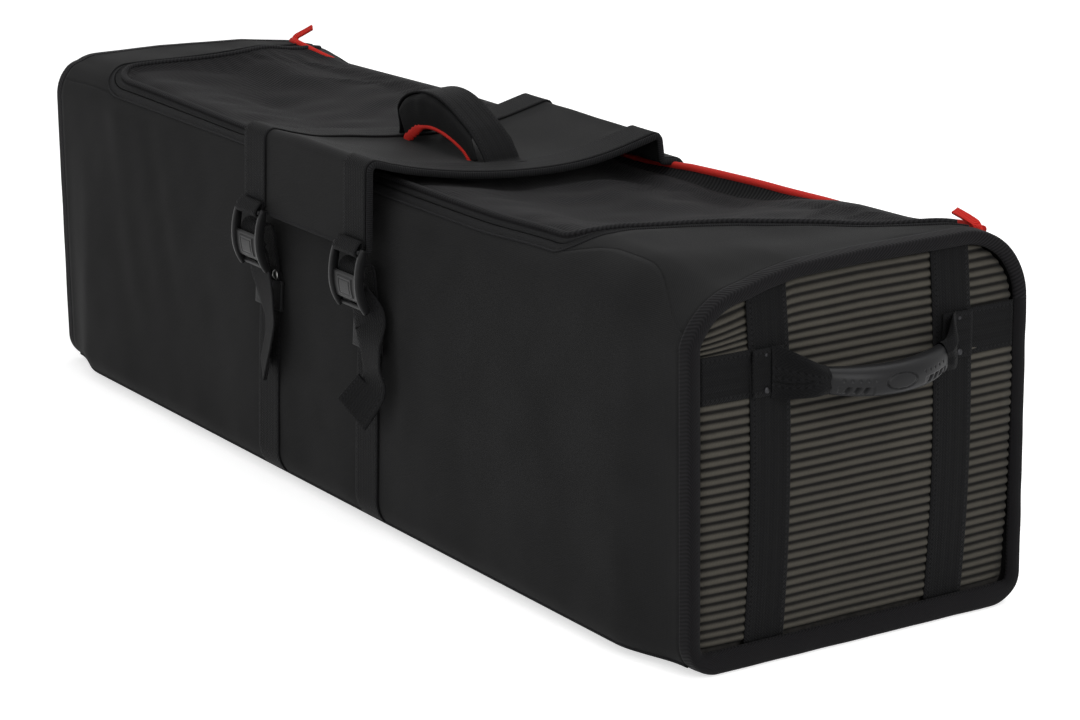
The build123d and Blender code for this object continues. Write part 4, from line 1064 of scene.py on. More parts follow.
for side, end_name in SIDES:
    z = np.linspace(rib_low[2] + 0.2 * MM, rib_high[2] - 0.2 * MM, RIB_COUNT * 8 + 1)[None, :]
    across = np.linspace(-1, 1, 29)[:, None]
    y = across * np.where(across > 0, end_width(z, RIB_INSET, REAR_R), end_width(z, RIB_INSET, HEAD_R))
    pillow = PILLOW * (1 - across**4) - PILLOW
    bulge = crown_at(z) + pillow + 0.5 * MM * ripple(y, z, 0.12, 61 + side)
    rise = rib_profile(z) * (1 + 0 * y)
    wobble = 1 + 0.12 * ripple(y, z * 2, 0.05, 63 + side)
    sheet = spots(side * (bulge + RIB_RISE * rise * wobble), y, z + end_sag(side * BODY, y, z))
    # mark carries the ribs' height, which the cover's material turns into painted shade in the grooves and
    # painted highlight on the ridges
    ribs = grid(end_name + "_rib_cover", sheet, RIBS, (side, 0, 0), mark=rise, thickness=3 * MM)
    dress(ribs, "shell", "ribbed_fabric", end_name + "_end_ribs")

    outline = resample(binding_path(), 3.2 * MM)[:-1]
    head_centre = np.where(outline[:, 0] > 0, REAR_R, HEAD_R)
    upper = outline[:, 1] > HEIGHT / 2
    centre_y = np.clip(
        outline[:, 0], -DEPTH + np.where(upper, HEAD_R, FOOT_R), DEPTH - np.where(upper, REAR_R, FOOT_R)
    )
    centre_z = np.clip(outline[:, 1], FOOT_R, HEIGHT - head_centre)
    out = unit(outline - spots(centre_y, centre_z))
    foot_share = smooth(-0.4, -0.95, out[:, 1])
    width = 12 * MM + 7 * MM * foot_share
    ring = []
    for a, b in (
        (0.0, -0.5), (0.0, 2.0), (0.3, 6.0), (0.5, 9.5), (0.9, 12.0), (2.0, 13.6), (3.6, 14.2),
        (7.0, 14.4), (10.5, 13.9), (13.2, 12.9), (15.0, 11.2), (15.4, 9.0),
    ):
        share = a / 15.0
        flat = outline - out * (share * width)[:, None]
        ring.append(at_x(side * (BODY + b * MM), flat))
    points = np.stack(ring, axis=0)
    points[..., 2] += end_sag(side * BODY, points[..., 1], points[..., 2])
    points = np.concatenate([points, points[:, :1]], axis=1)
    y, z = points[..., 1], points[..., 2]
    swell = 0.4 * MM * ripple(y + z, y - z, 0.06, 65 + side)
    points[..., 0] += side * swell * smooth(6 * MM, 13 * MM, np.abs(points[..., 0]) - BODY) * 0.6
    uv = spots(run_length(points, 1), run_length(points, 0))
    binding = grid(end_name + "_binding_cover", points, BINDING, (side, 0, 0), uv=uv, thickness=1.5 * MM)
    dress(binding, "shell", "binding", end_name + "_end_binding")

    def on_end(y, zs, lift):
        """Points so far above the ridges of this end face."""
        x = crown_at(zs) + RIB_RISE + lift - PILLOW * (np.asarray(y) / DEPTH) ** 4
        return spots(side * x, y, zs + end_sag(side * BODY, y, zs))

    strap_z = np.linspace(rib_low[2] - 3 * MM, rib_high[2] + 3 * MM, 90)
    for strap_side, strap_name in ((-1, "front"), (1, "rear")):
        path = on_end(strap_side * END_STRAP_Y, strap_z, 0.6 * MM)
        strap = web_strip(end_name + "_end_webbing_" + strap_name, path, (side, 0, 0))
        dress(strap, "shell", "webbing", end_name + "_end_strap_" + strap_name)

    band_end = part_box("right_end_band")[1][1]
    bands = []
    for band_side in (-1, 1):
        ys = np.linspace(END_STRAP_Y + 14 * MM, band_end + 2 * MM, 18) * band_side
        bands.append(web_strip("band", on_end(ys, BAND_Z, 0.3 * MM), (side, 0, 0)))
    dress(join(end_name + "_end_bands", *bands), "shell", "webbing", end_name + "_end_band")

# End handles: a webbing ear at each end of a moulded grip
GRIP_HALF = 58 * MM
DROOP = math.radians(12)
PIVOT_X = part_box("right_handle_core")[0][0] + 4 * MM
GRIP_Z = BAND_Z - 4 * MM
EAR_Y = 90 * MM  # root of an ear
RIVET_Y = 94 * MM
RIVET_Z = 14 * MM  # above and below the band's middle


def grip_out(y):
    """How far the curved grip stands out from the pivot."""
    rise = 16 * MM
    bend = (GRIP_HALF**2 + rise**2) / (2 * rise)
    return 28 * MM - bend + np.sqrt(bend**2 - np.minimum(np.abs(y), GRIP_HALF) ** 2)


def grip_surface(side):
    """The grip's surface as a grid: along it, and round it from its outer face."""
    s = np.linspace(-1, 1, 261)[:, None]
    a = np.linspace(0, 2 * np.pi, 121)[None, :]
    y = s * GRIP_HALF
    out = grip_out(y)
    swell = 0.86 + 0.14 * (1 - np.abs(s) ** 2.4)
    ends = 0.8 + 0.2 * np.sqrt(np.clip(1 - ((np.abs(s) - 0.95) / 0.05).clip(0, 1) ** 2, 0, 1))
    half_out = 9.5 * MM * swell * ends
    half_up = 11.6 * MM * swell * ends
    power = 0.82
    ca, sa = np.cos(a), np.sin(a)
    radial_out = np.sign(ca) * np.abs(ca) ** power
    radial_up = np.sign(sa) * np.abs(sa) ** power
    up = half_up * radial_up
    facing = smooth(0.1, 0.35, ca)
    out_y, low = np.abs(y), up + 5.4 * MM
    pocket = np.maximum(np.abs(out_y - 0.66 * GRIP_HALF) / (13.5 * MM), np.abs(low) / (3.9 * MM))
    depth = -1.1 * MM * smooth(1.06, 0.96, pocket) * facing
    for place in (0.54, 0.66, 0.78):
        lean = np.abs(out_y - place * GRIP_HALF - np.sign(y) * low * 0.5)
        slot = 3.4 * MM * smooth(2.3 * MM, 1.5 * MM, lean) * smooth(3.4 * MM, 2.7 * MM, np.abs(low))
        depth = depth - slot * facing
    dot = np.hypot((out_y + 3 * MM) % (6 * MM) - 3 * MM, up - 3.6 * MM)
    dotted = smooth(0.32, 0.34, np.abs(s)) * smooth(0.92, 0.9, np.abs(s))
    depth = depth - 0.7 * MM * smooth(1.2 * MM, 0.6 * MM, dot) * dotted * facing
    oval = np.sqrt((y / (15 * MM)) ** 2 + ((up - 0.8 * MM) / (6.4 * MM)) ** 2)
    depth = depth - 1.5 * MM * smooth(1.03, 0.98, oval) * smooth(0.86, 0.91, oval) * facing
    reach = out + half_out * radial_out + depth * ca
    lift = up + depth * sa * 0.5
    x = PIVOT_X + reach * math.cos(DROOP)
    z = GRIP_Z - reach * math.sin(DROOP) + lift
    return spots(side * x, y, z)


for side, end_name in SIDES:
    body = end_name + "_end_handle"
    surface = grip_surface(side)
    caps = [ring.mean(axis=0) + (ring - ring.mean(axis=0)) * 0.55 for ring in (surface[0], surface[-1])]
    surface = np.concatenate([caps[0][None], surface, caps[1][None]], axis=0)
    grip = grid(end_name + "_grip", surface, GRIP, (side, 0, 0))
    fix_normals(grip)
    dress(grip, body, "grip_plastic", end_name + "_handle_grip")

    ears = []
    for ear_side in (-1, 1):
        base = crown_at(BAND_Z) + RIB_RISE
        tab_y = np.linspace(78 * MM, 107 * MM, 12) * ear_side
        tab = spots(side * (base + 3.2 * MM), tab_y, BAND_Z)
        ears.append(web_strip("tab", tab, (side, 0, 0)))
        out = float(grip_out(np.float64(GRIP_HALF)))
        t = np.linspace(0, 1, 41)[:, None]
        a = np.linspace(0, 2 * np.pi, 73)[None, :]
        stop_x, stop_z = PIVOT_X + out * math.cos(DROOP), GRIP_Z - out * math.sin(DROOP)
        line_y = EAR_Y - 34 * MM * t
        outward = (stop_x - base - 4.0 * MM) * smooth(0, 0.85, t)
        line_x = base + 4.0 * MM + outward + 3 * MM * np.sin(np.pi * t)
        line_z = BAND_Z + (stop_z - BAND_Z) * t
        tall = (20.5 - 9.0 * smooth(0.1, 1.0, t)) * MM
        deep = (1.6 + 7.2 * smooth(0.0, 0.7, t)) * MM
        groove = 0.3 * np.exp(-((np.cos(a) - 1) ** 2) / 0.02) * np.sin(np.pi * t)
        crease = 1 - groove + 0.06 * np.cos(7 * a + 3 * t)
        ear_x = line_x + deep * np.cos(a) * crease
        ear_z = line_z + tall * np.sign(np.sin(a)) * np.abs(np.sin(a)) ** 0.85
        ear_sheet = spots(side * ear_x, ear_side * line_y, ear_z)
        ear_uv = spots((EAR_Y - line_y) * 1.2, run_length(ear_sheet, 1) % WEB_W - WEB_W / 2)
        ear = grid("ear", ear_sheet, STRAP, (side, 0, 0), uv=ear_uv)
        fix_normals(ear)
        ears.append(ear)
    ears = join(end_name + "_handle_ears", *ears)
    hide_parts(end_name + "_handle_tabs", end_name + "_handle_core")
    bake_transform(ears)

    rivets = []
    for ry in (-RIVET_Y, RIVET_Y):
        for rz in (BAND_Z - RIVET_Z, BAND_Z + RIVET_Z):
            x = float(crown_at(rz)) + RIB_RISE + 3.8 * MM
            rivets.append(dome("rivet", (side * x, ry, rz), (side, 0, 0.05), 2.6 * MM, 1.3 * MM, DARK))
    dress(join(end_name + "_rivet_heads", *rivets), "shell", "dark_metal", end_name + "_handle_rivets")

# Front and back straps with their patches and studs
STUD_R = 4.5 * MM
STUD_SHIFT = 6 * MM  # of both studs to the right, as in the photo
for side, strap_name in SIDES:
    place = side * STRAP_X
    for face, wall_name, last in ((-1, "front", 0.200), (1, "back", 0.225)):
        sheet = wall_sheet(face, [place - MM, place, place + MM], 0.3 * MM)
        line = sheet[1]
        normals = grid_normals(sheet)[1]
        normals = normals * np.sign(normals[:, 1:2] * face)
        keep = line[:, 2] <= last
        strap = web_strip(strap_name + "_" + wall_name + "_webbing", line[keep], normals[keep])
        dress(strap, "shell", "webbing", strap_name + "_" + wall_name + "_strap")
    low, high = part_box(strap_name + "_strap_patch")
    patch_z = np.linspace(low[2], high[2], 15)[None, :]
    patch_x = np.linspace(low[0], high[0], 25)[:, None]
    wall_line = wall_sheet(-1, [place, place + MM, place + 2 * MM])[0]
    wall_y = np.interp(patch_z[0], wall_line[:, 2], -wall_line[:, 1])
    swell = 1 - (np.abs(patch_x - place) / (high[0] - place)) ** 6
    patch_y = -(wall_y[None, :] + 3.0 * MM + 0.8 * MM * swell)
    patch_sheet = spots(patch_x, patch_y, patch_z)
    patch_uv = spots(patch_x - place, patch_z - (low[2] + high[2]) / 2)
    patch = grid(strap_name + "_patch", patch_sheet, PATCH, (0, -1, 0), uv=patch_uv, thickness=2.6 * MM)
    dress(patch, "shell", "webbing", strap_name + "_strap_patch")
    studs = []
    stud_low, stud_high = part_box(strap_name + "_strap_studs")
    for stud_x in (stud_low[0] + STUD_R, stud_high[0] - STUD_R):
        centre = (stud_x + STUD_SHIFT, stud_high[1], (stud_low[2] + stud_high[2]) / 2)
        studs.append(dome("stud", centre, (0, -1, 0), STUD_R, 3 * MM, BRIGHT))
    dress(join(strap_name + "_stud_heads", *studs), "shell", "bright_metal", strap_name + "_strap_studs")

# Flap: a stiff panel that sags over the lid and folds down at the front
flap_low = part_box("flap_panel")[0]
FLAP_T = 4 * MM
FLAP_FOOT = (flap_low[1] + FLAP_T / 2, flap_low[2])
FLAP_CORNER = (FLAP_FOOT[0] + 3 * MM, 330.5 * MM)
FLAP_REAR = (RIDGE_Y - 18 * MM, 317.5 * MM)
FLAP_PLACES = mm(-174, -150, -120, -97, -75, -50, -27, -8, 15, 34, 52, 72, 92)
FLAP_LEVELS = mm(328, 320, 313, 309, 305.5, 302.8, 301, 300.2, 300.2, 301.2, 303.2, 307, 311.5)


def flap_line():
    """Middle line of the flap in (y, z): up the back wall, over the ridge in a boxy fold, across the lid and
    down to the foot of its front drop."""
    ys = np.linspace(FLAP_REAR[0], FLAP_PLACES[0], 60)
    places, levels = np.append(FLAP_PLACES, FLAP_REAR[0]), np.append(FLAP_LEVELS, FLAP_REAR[1])
    zs = np.interp(ys, places, levels)
    zs[4:-4] = np.convolve(zs, np.ones(9) / 9, "same")[4:-4]
    body = np.stack([ys, zs], axis=-1)
    wall = wall_sheet(1, [-MM, 0, MM], FLAP_T / 2 + 1 * MM)[1][:, 1:]
    wall = wall[(wall[:, 1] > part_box("flap_root")[0][2]) & (wall[:, 0] > RIDGE_Y + 13 * MM)]
    fold = [
        wall[-1], (RIDGE_Y + 5 * MM, ROOT_TOP), (RIDGE_Y - 13 * MM, ROOT_TOP + 2 * MM),
        (RIDGE_Y - 16 * MM, FLAP_REAR[1]), body[7],
    ]
    fold = rounded(fold, [6 * MM, 3.5 * MM, 4 * MM], 9)
    front = rounded([body[-1], FLAP_CORNER, FLAP_FOOT], [6 * MM], 9)
    return resample(np.concatenate([wall, fold[1:], body[8:], front[1:]]), 2.0 * MM)


def line_normals(line):
    """Upward normals of a line in (y, z) that runs forward."""
    tangent = unit(np.gradient(line, axis=0))
    return np.stack([tangent[:, 1], -tangent[:, 0]], axis=-1)


ROOT_TOP = float(ridge_level(0)) + 8.8 * MM
FLAP_PATH = flap_line()
FLAP_NORMAL = line_normals(FLAP_PATH)
SEAM_SPOT = np.array([RIDGE_Y + 3 * MM, ROOT_TOP])
SEAM = int(np.argmin(np.linalg.norm(FLAP_PATH - SEAM_SPOT, axis=1)))
ROOT, OVER = slice(None, SEAM + 1), slice(SEAM, None)


def dress_flap(obj, part, slot, *nodes):
    """Bakes the piece's transform and hides these nodes, the same above and below the ridge."""
    if part is OVER:
        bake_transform(obj)
    else:
        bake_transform(obj)
    if nodes:
        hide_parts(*nodes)


def flap_drop(x, y, z):
    """How much lower the flap lies at the left end of its front fold."""
    return 3 * MM * smooth(-0.09, -0.14, y) * smooth(0.01, 0.10, -x) * smooth(0.265, 0.315, z)


def on_flap(x, lift, part=slice(None)):
    """Line along a part of the flap at one place across it, so far above its middle."""
    points = (FLAP_PATH + FLAP_NORMAL * lift)[part]
    points[:, 1] -= flap_drop(x, *points.T)
    return at_x(x, points)


flap_x = np.linspace(-FLAP_HALF, FLAP_HALF, 57)
flap_sheet = np.stack([on_flap(x, FLAP_T / 2, OVER) for x in flap_x], axis=0)
middle = 1 - smooth(0.055, 0.075, np.abs(flap_sheet[..., 0]))
x, y, z = flap_sheet[..., 0], flap_sheet[..., 1], flap_sheet[..., 2]
slack = 0.8 * MM * ripple(x, y + z, 0.1, 71) - 1.0 * MM
top_only = smooth(-0.16, -0.12, y) * smooth(0.135, 0.10, y)
flap_sheet = puff(flap_sheet, (0, 0, 1), slack * middle * top_only)
flap = grid("flap_skin", flap_sheet, FLAP_CLOTH, (0, 0, 1), thickness=FLAP_T)
dress_flap(flap, OVER, "flap_fabric", "flap_panel")
root_sheet = np.stack([on_flap(x, FLAP_T / 2, ROOT) for x in flap_x])
root = grid("flap_root_skin", root_sheet, FLAP_CLOTH, (0, 1, 0), thickness=FLAP_T)
dress_flap(root, ROOT, "flap_fabric", "flap_root")

edge_section = [
    (-1.4, -2.6), (-1.6, 0.0), (-1.4, 2.7), (-0.2, 3.1), (1.1, 2.4), (0.8, 1.3),
    (1.5, 0.5), (1.5, -0.5), (0.8, -1.2), (1.2, -2.2), (0.2, -2.9),
]
edges, root_edges = [], []
for side in (-1, 1):
    for part, found in ((OVER, edges), (ROOT, root_edges)):
        path = on_flap(side * (FLAP_HALF + 1.2 * MM), 0, part)
        section = np.array(edge_section) * MM
        section[:, 0] *= side
        found.append(sweep("edge", path, at_x(0, FLAP_NORMAL[part]), section, FLAP_EDGE))
dress_flap(join("flap_root_edging", *root_edges), ROOT, "binding")
foot_x = np.linspace(-FLAP_HALF, FLAP_HALF, 60)
foot_path = spots(foot_x, FLAP_PATH[-1, 0], FLAP_PATH[-1, 1] + 1 * MM)
edges.append(sweep("hem", foot_path, (0, -1, 0), round_section(2.6 * MM, 10), FLAP_EDGE))
dress_flap(join("flap_edging", *edges), OVER, "binding", "flap_binding")

# Webbing along the flap, round each buckle's upper bar. Its turn is given from the bar, in millimetres.
LOOP_R = 3.7
WEB_TURN = (
    (3.0, 9.0), (-1.0, 4.6), (-LOOP_R, 0.5), (-LOOP_R * 0.7, -LOOP_R * 0.75), (0.0, -LOOP_R),
    (LOOP_R, -0.5), (LOOP_R + 1.2, 6.0),
)
UPPER_BAR = (-193.6 * MM, 253.6 * MM)
for side, strap_name in SIDES:
    place = side * STRAP_X
    lift = FLAP_T / 2 + WEB_T / 2 + 0.3 * MM
    root_web = web_strip(strap_name + "_root_webbing", on_flap(place, lift, ROOT), at_x(0, FLAP_NORMAL[ROOT]))
    dress_flap(root_web, ROOT, "webbing")
    run = on_flap(place, lift, OVER)[:-3, 1:]
    line = resample(np.concatenate([run, np.array(UPPER_BAR) + np.array(WEB_TURN) * MM]), 1.6 * MM)
    web = web_strip(strap_name + "_flap_webbing", at_x(place, line), at_x(0, line_normals(line)))
    dress_flap(web, OVER, "webbing", strap_name + "_flap_strap")

# Buckles: two curved rails, three bars and a plate with a raised square
INNER_BAR = (-190.0 * MM, 224.5 * MM)
LOWER_BAR = (-188.5 * MM, 202.5 * MM)
RAIL_X = 22.3 * MM
PLATE_Z = 220.5 * MM
RAIL_SECTION = MM * np.array([
    (4.0, 1.5), (3.2, 2.0), (-3.2, 2.0), (-4.0, 1.5), (-4.0, -1.5), (-3.2, -2.0), (3.2, -2.0), (4.0, -1.5),
])


def buckle_bow(z):
    """Depth of the rails' curve at a height."""
    share = (z - 226 * MM) / (30 * MM)
    return -197.0 * MM + 5.5 * MM * np.maximum(share, 0) ** 2 + 9.5 * MM * np.maximum(-share, 0) ** 2


for side, strap_name in SIDES:
    place = side * STRAP_X
    pieces = []
    rail_z = np.linspace(256 * MM, 200 * MM, 40)
    taper = 1 - 0.3 * np.abs(np.linspace(-1, 1, 40)) ** 4
    for edge in (-1, 1):
        path = spots(place + edge * RAIL_X, buckle_bow(rail_z) + 1 * MM, rail_z)
        pieces.append(sweep("rail", path, (1, 0, 0), RAIL_SECTION, BUCKLE, widths=taper))
    bar_x = np.linspace(place - 21 * MM, place + 21 * MM, 12)
    for (bar_y, bar_z), bar_r in ((UPPER_BAR, 2.0 * MM), (INNER_BAR, 2.0 * MM), (LOWER_BAR, 2.2 * MM)):
        pieces.append(sweep("bar", spots(bar_x, bar_y, bar_z), (0, -1, 0), round_section(bar_r, 14), BUCKLE))
    plate_x = np.linspace(-20, 20, 81)[:, None] * MM
    plate_z = np.linspace(208, 233, 61)[None, :] * MM
    frame_u = np.abs(plate_x) / (12.5 * MM)
    frame_v = np.abs(plate_z - PLATE_Z) / (9.0 * MM)
    square = np.maximum(frame_u, frame_v)
    relief = 1.0 * MM * smooth(1.0, 0.9, square)
    relief = relief - 0.4 * MM * smooth(0.78, 0.72, square) * smooth(0.62, 0.68, square)
    rim_round = 1.2 * MM * (smooth(10.0 * MM, 12.5 * MM, np.abs(plate_z - PLATE_Z)) ** 2)
    plate_y = buckle_bow(plate_z) - 0.4 * MM - relief + rim_round
    plate_sheet = spots(place + plate_x, plate_y, plate_z)
    plate = grid("plate", plate_sheet, BUCKLE, (0, -1, 0), thickness=2.2 * MM)
    bpy.context.view_layer.objects.active = plate
    bpy.ops.object.modifier_apply(modifier="thickness")
    buckle = join(strap_name + "_buckle_frame", *pieces, plate)
    dress(buckle, strap_name + "_buckle_body", "buckle_plastic", strap_name + "_buckle")

# Straps from the studs up through the buckles, with hemmed and twisted tails. A tail's rows give a place in
# millimetres and the direction across the webbing there.
HEM_POINTS = 13
TAILS = {
    "left": [
        (-90, -184.5, 200, 38, 0, 0), (-80, -184.5, 178, 37, -5, 0), (-73, -184.5, 154, 34, -10, 0),
        (-75, -186, 135, 33, -13, 0), (-86, -187.5, 104, 33, -13, 2),
    ],
    "right": [
        (98, -184.5, 205, 37, 2, 0), (111, -184.5, 192, 34, 8, -4), (115, -188, 172, 33, -3, -8),
        (122, -190.5, 150, 28, -6, -16), (124, -192, 138, 27, 2, -23), (102, -201, 110, 27, 10, -25),
    ],
}
for side, strap_name in SIDES:
    place = side * STRAP_X
    level = box_middle(strap_name + "_strap_studs", 2)
    wall_y = -(DEPTH + 10.2 * MM)
    bar_y, bar_z = INNER_BAR
    profile = [
        (wall_y, level - 6 * MM), (wall_y, level + 8 * MM), (wall_y - 1.5 * MM, level + 24 * MM),
        (wall_y - 2.5 * MM, bar_z + 10 * MM), (wall_y - 5.5 * MM, bar_z + 18 * MM),
        (bar_y + 1 * MM, bar_z + 17 * MM), (bar_y - 2 * MM, bar_z + 10 * MM),
        (bar_y - 3.0 * MM, bar_z + 3 * MM), (bar_y, bar_z - 3.4 * MM), (bar_y + 4.5 * MM, bar_z - 8 * MM),
    ]
    rows = [(place, y, z, WEB_W, 0, 0) for y, z in profile]
    rows += [tuple(value * MM for value in row) for row in TAILS[strap_name]]
    rows = resample(np.array(rows), 2 * MM)
    kernel = np.ones(5) / 5
    rows[4:-4] = np.stack([np.convolve(rows[:, i], kernel, "same")[4:-4] for i in range(6)], axis=-1)
    path = rows[:, :3]
    across = unit(rows[:, 3:])
    tangent = unit(np.gradient(path, axis=0))
    normals = np.cross(tangent, across)
    tail = web_strip("tail", path, normals)
    folded = normals[-HEM_POINTS:]
    hem = web_strip("hem", path[-HEM_POINTS:] - unit(folded) * 1.7 * MM, folded, WEB_T * 1.1)
    tail = join(strap_name + "_tail_webbing", tail, hem)
    dress(tail, strap_name + "_buckle_body", "webbing", strap_name + "_buckle_strap")

# Top handle: padded sleeve under a webbing arch, with red piping on its lower edges
wrap_low, wrap_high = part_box("top_handle_wrap")
HANDLE_W = (wrap_high[1] - wrap_low[1]) / 2
HANDLE_Y = (wrap_low[1] + wrap_high[1]) / 2 - 7 * MM
feet_low, feet_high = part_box("top_handle_feet")
SPAN = 75 * MM
PIVOT_Z = feet_high[2] - 2.7 * MM
RISE = 40 * MM
HANDLE_SHIFT = 7 * MM  # of the handle to the left
HANDLE_LEAN = 22 * MM  # of its crown to the left, on top of that
SLEEVE_R = 7 * MM  # upper edges of the sleeve
arch_r = (SPAN**2 + RISE**2) / (2 * RISE)
arch_z = PIVOT_Z + RISE - arch_r


def arch(x, lift):
    """Level of the handle's arch, so far above its middle."""
    return arch_z + np.sqrt(np.maximum((arch_r + lift) ** 2 - x**2, 0))


def sleeve_edge(x):
    """Level of the sleeve's lower edges."""
    reach = wrap_high[0]
    return wrap_low[2] - 15.5 * MM + 18 * MM * (1 - np.minimum(np.abs(x) / reach, 1) ** 2)


def dress_handle(obj, slot, *nodes):
    """Bakes the piece's transform and hides these nodes."""
    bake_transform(obj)
    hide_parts(*nodes)


def leant(points):
    """The arch's crown leans to the left, and the whole handle stands a little left of the middle."""
    points = np.array(points, float)
    points[..., 0] -= HANDLE_SHIFT + HANDLE_LEAN * smooth(PIVOT_Z, PIVOT_Z + RISE, points[..., 2])
    return points


sleeve_x = np.linspace(wrap_low[0], wrap_high[0] + 7 * MM, 64)[:, None]
around = np.linspace(-1, 1, 41)[None, :]
crest = arch(sleeve_x, 4.6 * MM)
lower = sleeve_edge(sleeve_x)
side_part = np.clip((np.abs(around) - 0.42) / 0.58, 0, 1)
top_part = np.clip(around / 0.42, -1, 1)
turn = np.clip(np.abs(top_part), 0, 1)
flat_y = (HANDLE_W - SLEEVE_R) * np.clip(turn / 0.6, 0, 1)
bend_a = np.clip((turn - 0.6) / 0.4, 0, 1) * np.pi / 2
y_off = flat_y + SLEEVE_R * np.sin(bend_a)
z_top = crest - SLEEVE_R * (1 - np.cos(bend_a)) + 0.8 * MM * (1 - turn**2)
wall_top = crest - SLEEVE_R
z_side = wall_top + (lower - wall_top) * side_part
pinch = -1.4 * MM * np.sin(np.pi * side_part)
sleeve_y = HANDLE_Y + np.sign(around) * (y_off + np.where(side_part > 0, -pinch * 0.6, 0))
sleeve_z = np.where(side_part > 0, z_side, z_top)
sleeve_sheet = spots(sleeve_x, sleeve_y, sleeve_z)
crumple = 0.7 * MM * ripple(sleeve_sheet[..., 0], sleeve_sheet[..., 2] + sleeve_sheet[..., 1], 0.035, 81)
sleeve_sheet = puff(sleeve_sheet, (0, 0, 1), crumple * border(sleeve_sheet, 0.1))
sleeve = grid("handle_sleeve", leant(sleeve_sheet), PADDING, (0, 0, 1), thickness=2.6 * MM)
dress_handle(sleeve, "flap_fabric", "top_handle_wrap")

pipes = []
for side in (-1, 1):
    xs = np.linspace(wrap_low[0] - 2 * MM, wrap_high[0] + 2 * MM, 70)
    path = spots(xs, HANDLE_Y + side * (HANDLE_W - 0.5 * MM), sleeve_edge(xs) - 0.6 * MM)
    path[:, 2] -= 3 * MM * smooth(wrap_high[0] - 12 * MM, wrap_high[0], xs)
    broad = 1 + 1.6 * smooth(wrap_low[0] + 42 * MM, wrap_low[0] + 20 * MM, xs) * (1 + 0.25 * np.sin(xs * 900))
    pipes.append(sweep("pipe", leant(path), (0, side, 0), round_section(1.9 * MM, 10), RED, widths=broad))
dress_handle(join("handle_red_piping", *pipes), "red_piping", "top_handle_piping")

foot_z = feet_low[2] + WEB_T / 2 - 3.4 * MM
arch_x = np.linspace(-SPAN * 0.97, SPAN * 0.97, 90)
arch_points = [(x, float(arch(x, 6.6 * MM * float(smooth(SPAN, SPAN * 0.8, abs(x)))))) for x in arch_x]
left_foot = [(-88 * MM, foot_z), (-80 * MM, foot_z), (-74.5 * MM, foot_z + 1.5 * MM)]
right_foot = [(-x, z) for x, z in reversed(left_foot)]
web_line = resample(np.array(left_foot + arch_points + right_foot), 2.2 * MM)
web_path = leant(spots(web_line[:, 0], HANDLE_Y, web_line[:, 1]))
tangent = unit(np.gradient(web_path[:, ::2], axis=0))
web_normals = spots(-tangent[:, 1], 0, tangent[:, 0])
web_section = flat_section(HANDLE_WEB_W, WEB_T * 1.2)
handle_web = sweep("handle_webbing_arch", web_path, web_normals, web_section, TOP_STRAP)
dress_handle(handle_web, "webbing", "top_handle_webbing", "top_handle_feet")

# Lining inside the walls
for side, lining_name in WALLS:
    low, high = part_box(lining_name + "_lining")
    lx = np.linspace(low[0], high[0], 121)[:, None]
    lz = np.linspace(low[2], high[2], 41)[None, :]
    share = (lz - low[2]) / (high[2] - low[2])
    outer = DEPTH + FLARE - WALL - 1 * MM - FLARE * share
    ly = side * (outer - 2.5 * MM)
    sheet = spots(lx, ly, lz)
    sheet = puff(sheet, (0, -side, 0), 1.2 * MM * ripple(lx, lz, 0.08, 91) * border(sheet))
    lining = grid(lining_name + "_lining_cloth", sheet, LINING, (0, -side, 0), thickness=2.5 * MM)
    dress(lining, "shell", "lining", lining_name + "_lining")

# Hard pieces of the frame that stay, with soft edges and their own finish
for node, material, edge in (
    ("left_zip_slider", DARK, 0.3), ("right_zip_slider", DARK, 0.3),
    ("left_zip_pull", DARK, 0.2), ("right_zip_pull", DARK, 0.2),
    ("left_end_panel", BOARD, 0.0), ("right_end_panel", BOARD, 0.0), ("bottom_board", BOARD, 0.0),
):
    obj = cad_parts[node]
    for slot in obj.material_slots:
        slot.material = material
    if edge:
        bevel = obj.modifiers.new("soft_edges", "BEVEL")
        bevel.width = edge * MM
        bevel.segments = 2
        bevel.limit_method = "ANGLE"
        bevel.angle_limit = math.radians(28)

# Floor, light and camera


def seen_rays(tree):
    """1 for rays that show a surface to the camera, straight, in a gloss or through a clear piece, else 0."""
    paths = tree.nodes.new("ShaderNodeLightPath")
    seen = paths.outputs["Is Camera Ray"]
    for kind in ("Is Glossy Ray", "Is Transmission Ray"):
        either = tree.nodes.new("ShaderNodeMath")
        either.operation = "MAXIMUM"
        tree.links.new(seen, either.inputs[0])
        tree.links.new(paths.outputs[kind], either.inputs[1])
        seen = either.outputs[0]
    return seen


floor_mesh = bpy.data.meshes.new("floor")
floor_mesh.from_pydata([(-8, -8, 0), (8, -8, 0), (8, 8, 0), (-8, 8, 0)], [], [(0, 1, 2, 3)])
floor = bpy.data.objects.new("floor", floor_mesh)
bpy.context.collection.objects.link(floor)
floor_look = bpy.data.materials.new("pale_floor")
floor_look.use_nodes = True
tree = floor_look.node_tree
tree.nodes.clear()
glow = tree.nodes.new("ShaderNodeEmission")
power = tree.nodes.new("ShaderNodeMath")
power.operation = "MULTIPLY"
power.inputs[1].default_value = 0.6
tree.links.new(seen_rays(tree), power.inputs[0])
tree.links.new(power.outputs[0], glow.inputs["Strength"])
matte = tree.nodes.new("ShaderNodeBsdfDiffuse")
matte.inputs["Color"].default_value = (0.82, 0.82, 0.82, 1)
total = tree.nodes.new("ShaderNodeAddShader")
tree.links.new(glow.outputs[0], total.inputs[0])
tree.links.new(matte.outputs[0], total.inputs[1])
output = tree.nodes.new("ShaderNodeOutputMaterial")
tree.links.new(total.outputs[0], output.inputs["Surface"])
floor_mesh.materials.append(floor_look)

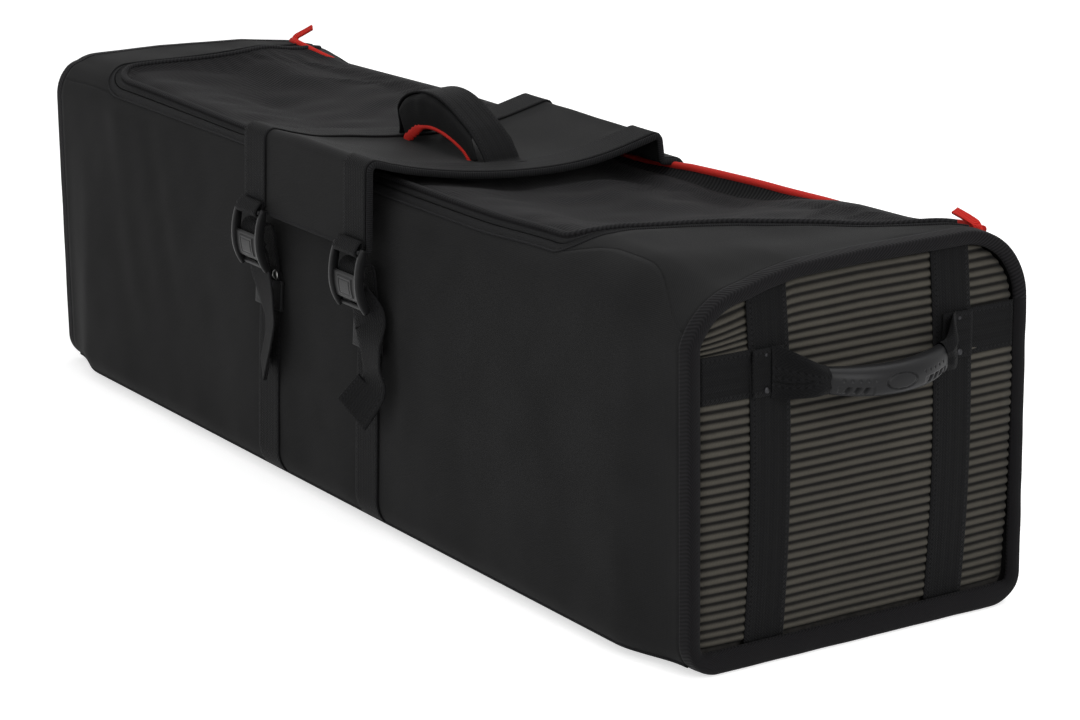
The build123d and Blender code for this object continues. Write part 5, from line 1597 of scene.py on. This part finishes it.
world = bpy.data.worlds.new("studio")
bpy.context.scene.world = world
world.use_nodes = True
tree = world.node_tree
tree.nodes.clear()
level = tree.nodes.new("ShaderNodeMapRange")
tree.links.new(seen_rays(tree), level.inputs[0])
level.inputs[3].default_value = 0.55
level.inputs[4].default_value = 1.0
background = tree.nodes.new("ShaderNodeBackground")
background.inputs["Color"].default_value = (1, 1, 1, 1)
tree.links.new(level.outputs[0], background.inputs["Strength"])
output = tree.nodes.new("ShaderNodeOutputWorld")
tree.links.new(background.outputs[0], output.inputs["Surface"])


def softbox(name, place, target, size, power):
    """A lamp with a broad face, turned to a target."""
    lamp = bpy.data.lights.new(name, "AREA")
    lamp.shape = "RECTANGLE"
    lamp.size, lamp.size_y = size
    lamp.energy = power
    obj = bpy.data.objects.new(name, lamp)
    back = unit(np.asarray(place, float) - np.asarray(target, float))
    right = unit(np.cross((0, 0, 1), back))
    up = np.cross(back, right)
    turn = Matrix([(right[i], up[i], back[i], place[i]) for i in range(3)] + [(0, 0, 0, 1)])
    obj.matrix_world = turn
    bpy.context.collection.objects.link(obj)


softbox("top_box", (0.3, 0.4, 2.4), (0, 0, 0.2), (2.4, 1.8), 22)
softbox("right_box", (2.6, -0.2, 1.3), (0.4, 0, 0.2), (1.4, 1.4), 22)
softbox("front_box", (-0.6, -2.8, 1.2), (0, 0, 0.15), (2.2, 1.2), 14)

camera_data = bpy.data.cameras.new("camera")
camera_data.sensor_width = 36
camera_data.sensor_fit = "HORIZONTAL"
camera_data.lens = 114.686
camera = bpy.data.objects.new("camera", camera_data)
CAMERA_PLACE = (2.59545619, -1.58580058, 0.96249745)
CAMERA_RIGHT = (0.53766155, 0.84307693, -0.01188927)
CAMERA_UP = (-0.22354233, 0.15612914, 0.96210837)
CAMERA_BACK = (0.81298763, -0.51463092, 0.27240802)
camera.matrix_world = Matrix(
    [(CAMERA_RIGHT[i], CAMERA_UP[i], CAMERA_BACK[i], CAMERA_PLACE[i]) for i in range(3)] + [(0, 0, 0, 1)]
)
bpy.context.collection.objects.link(camera)
bpy.context.scene.camera = camera
bpy.context.scene.view_settings.view_transform = "Standard"
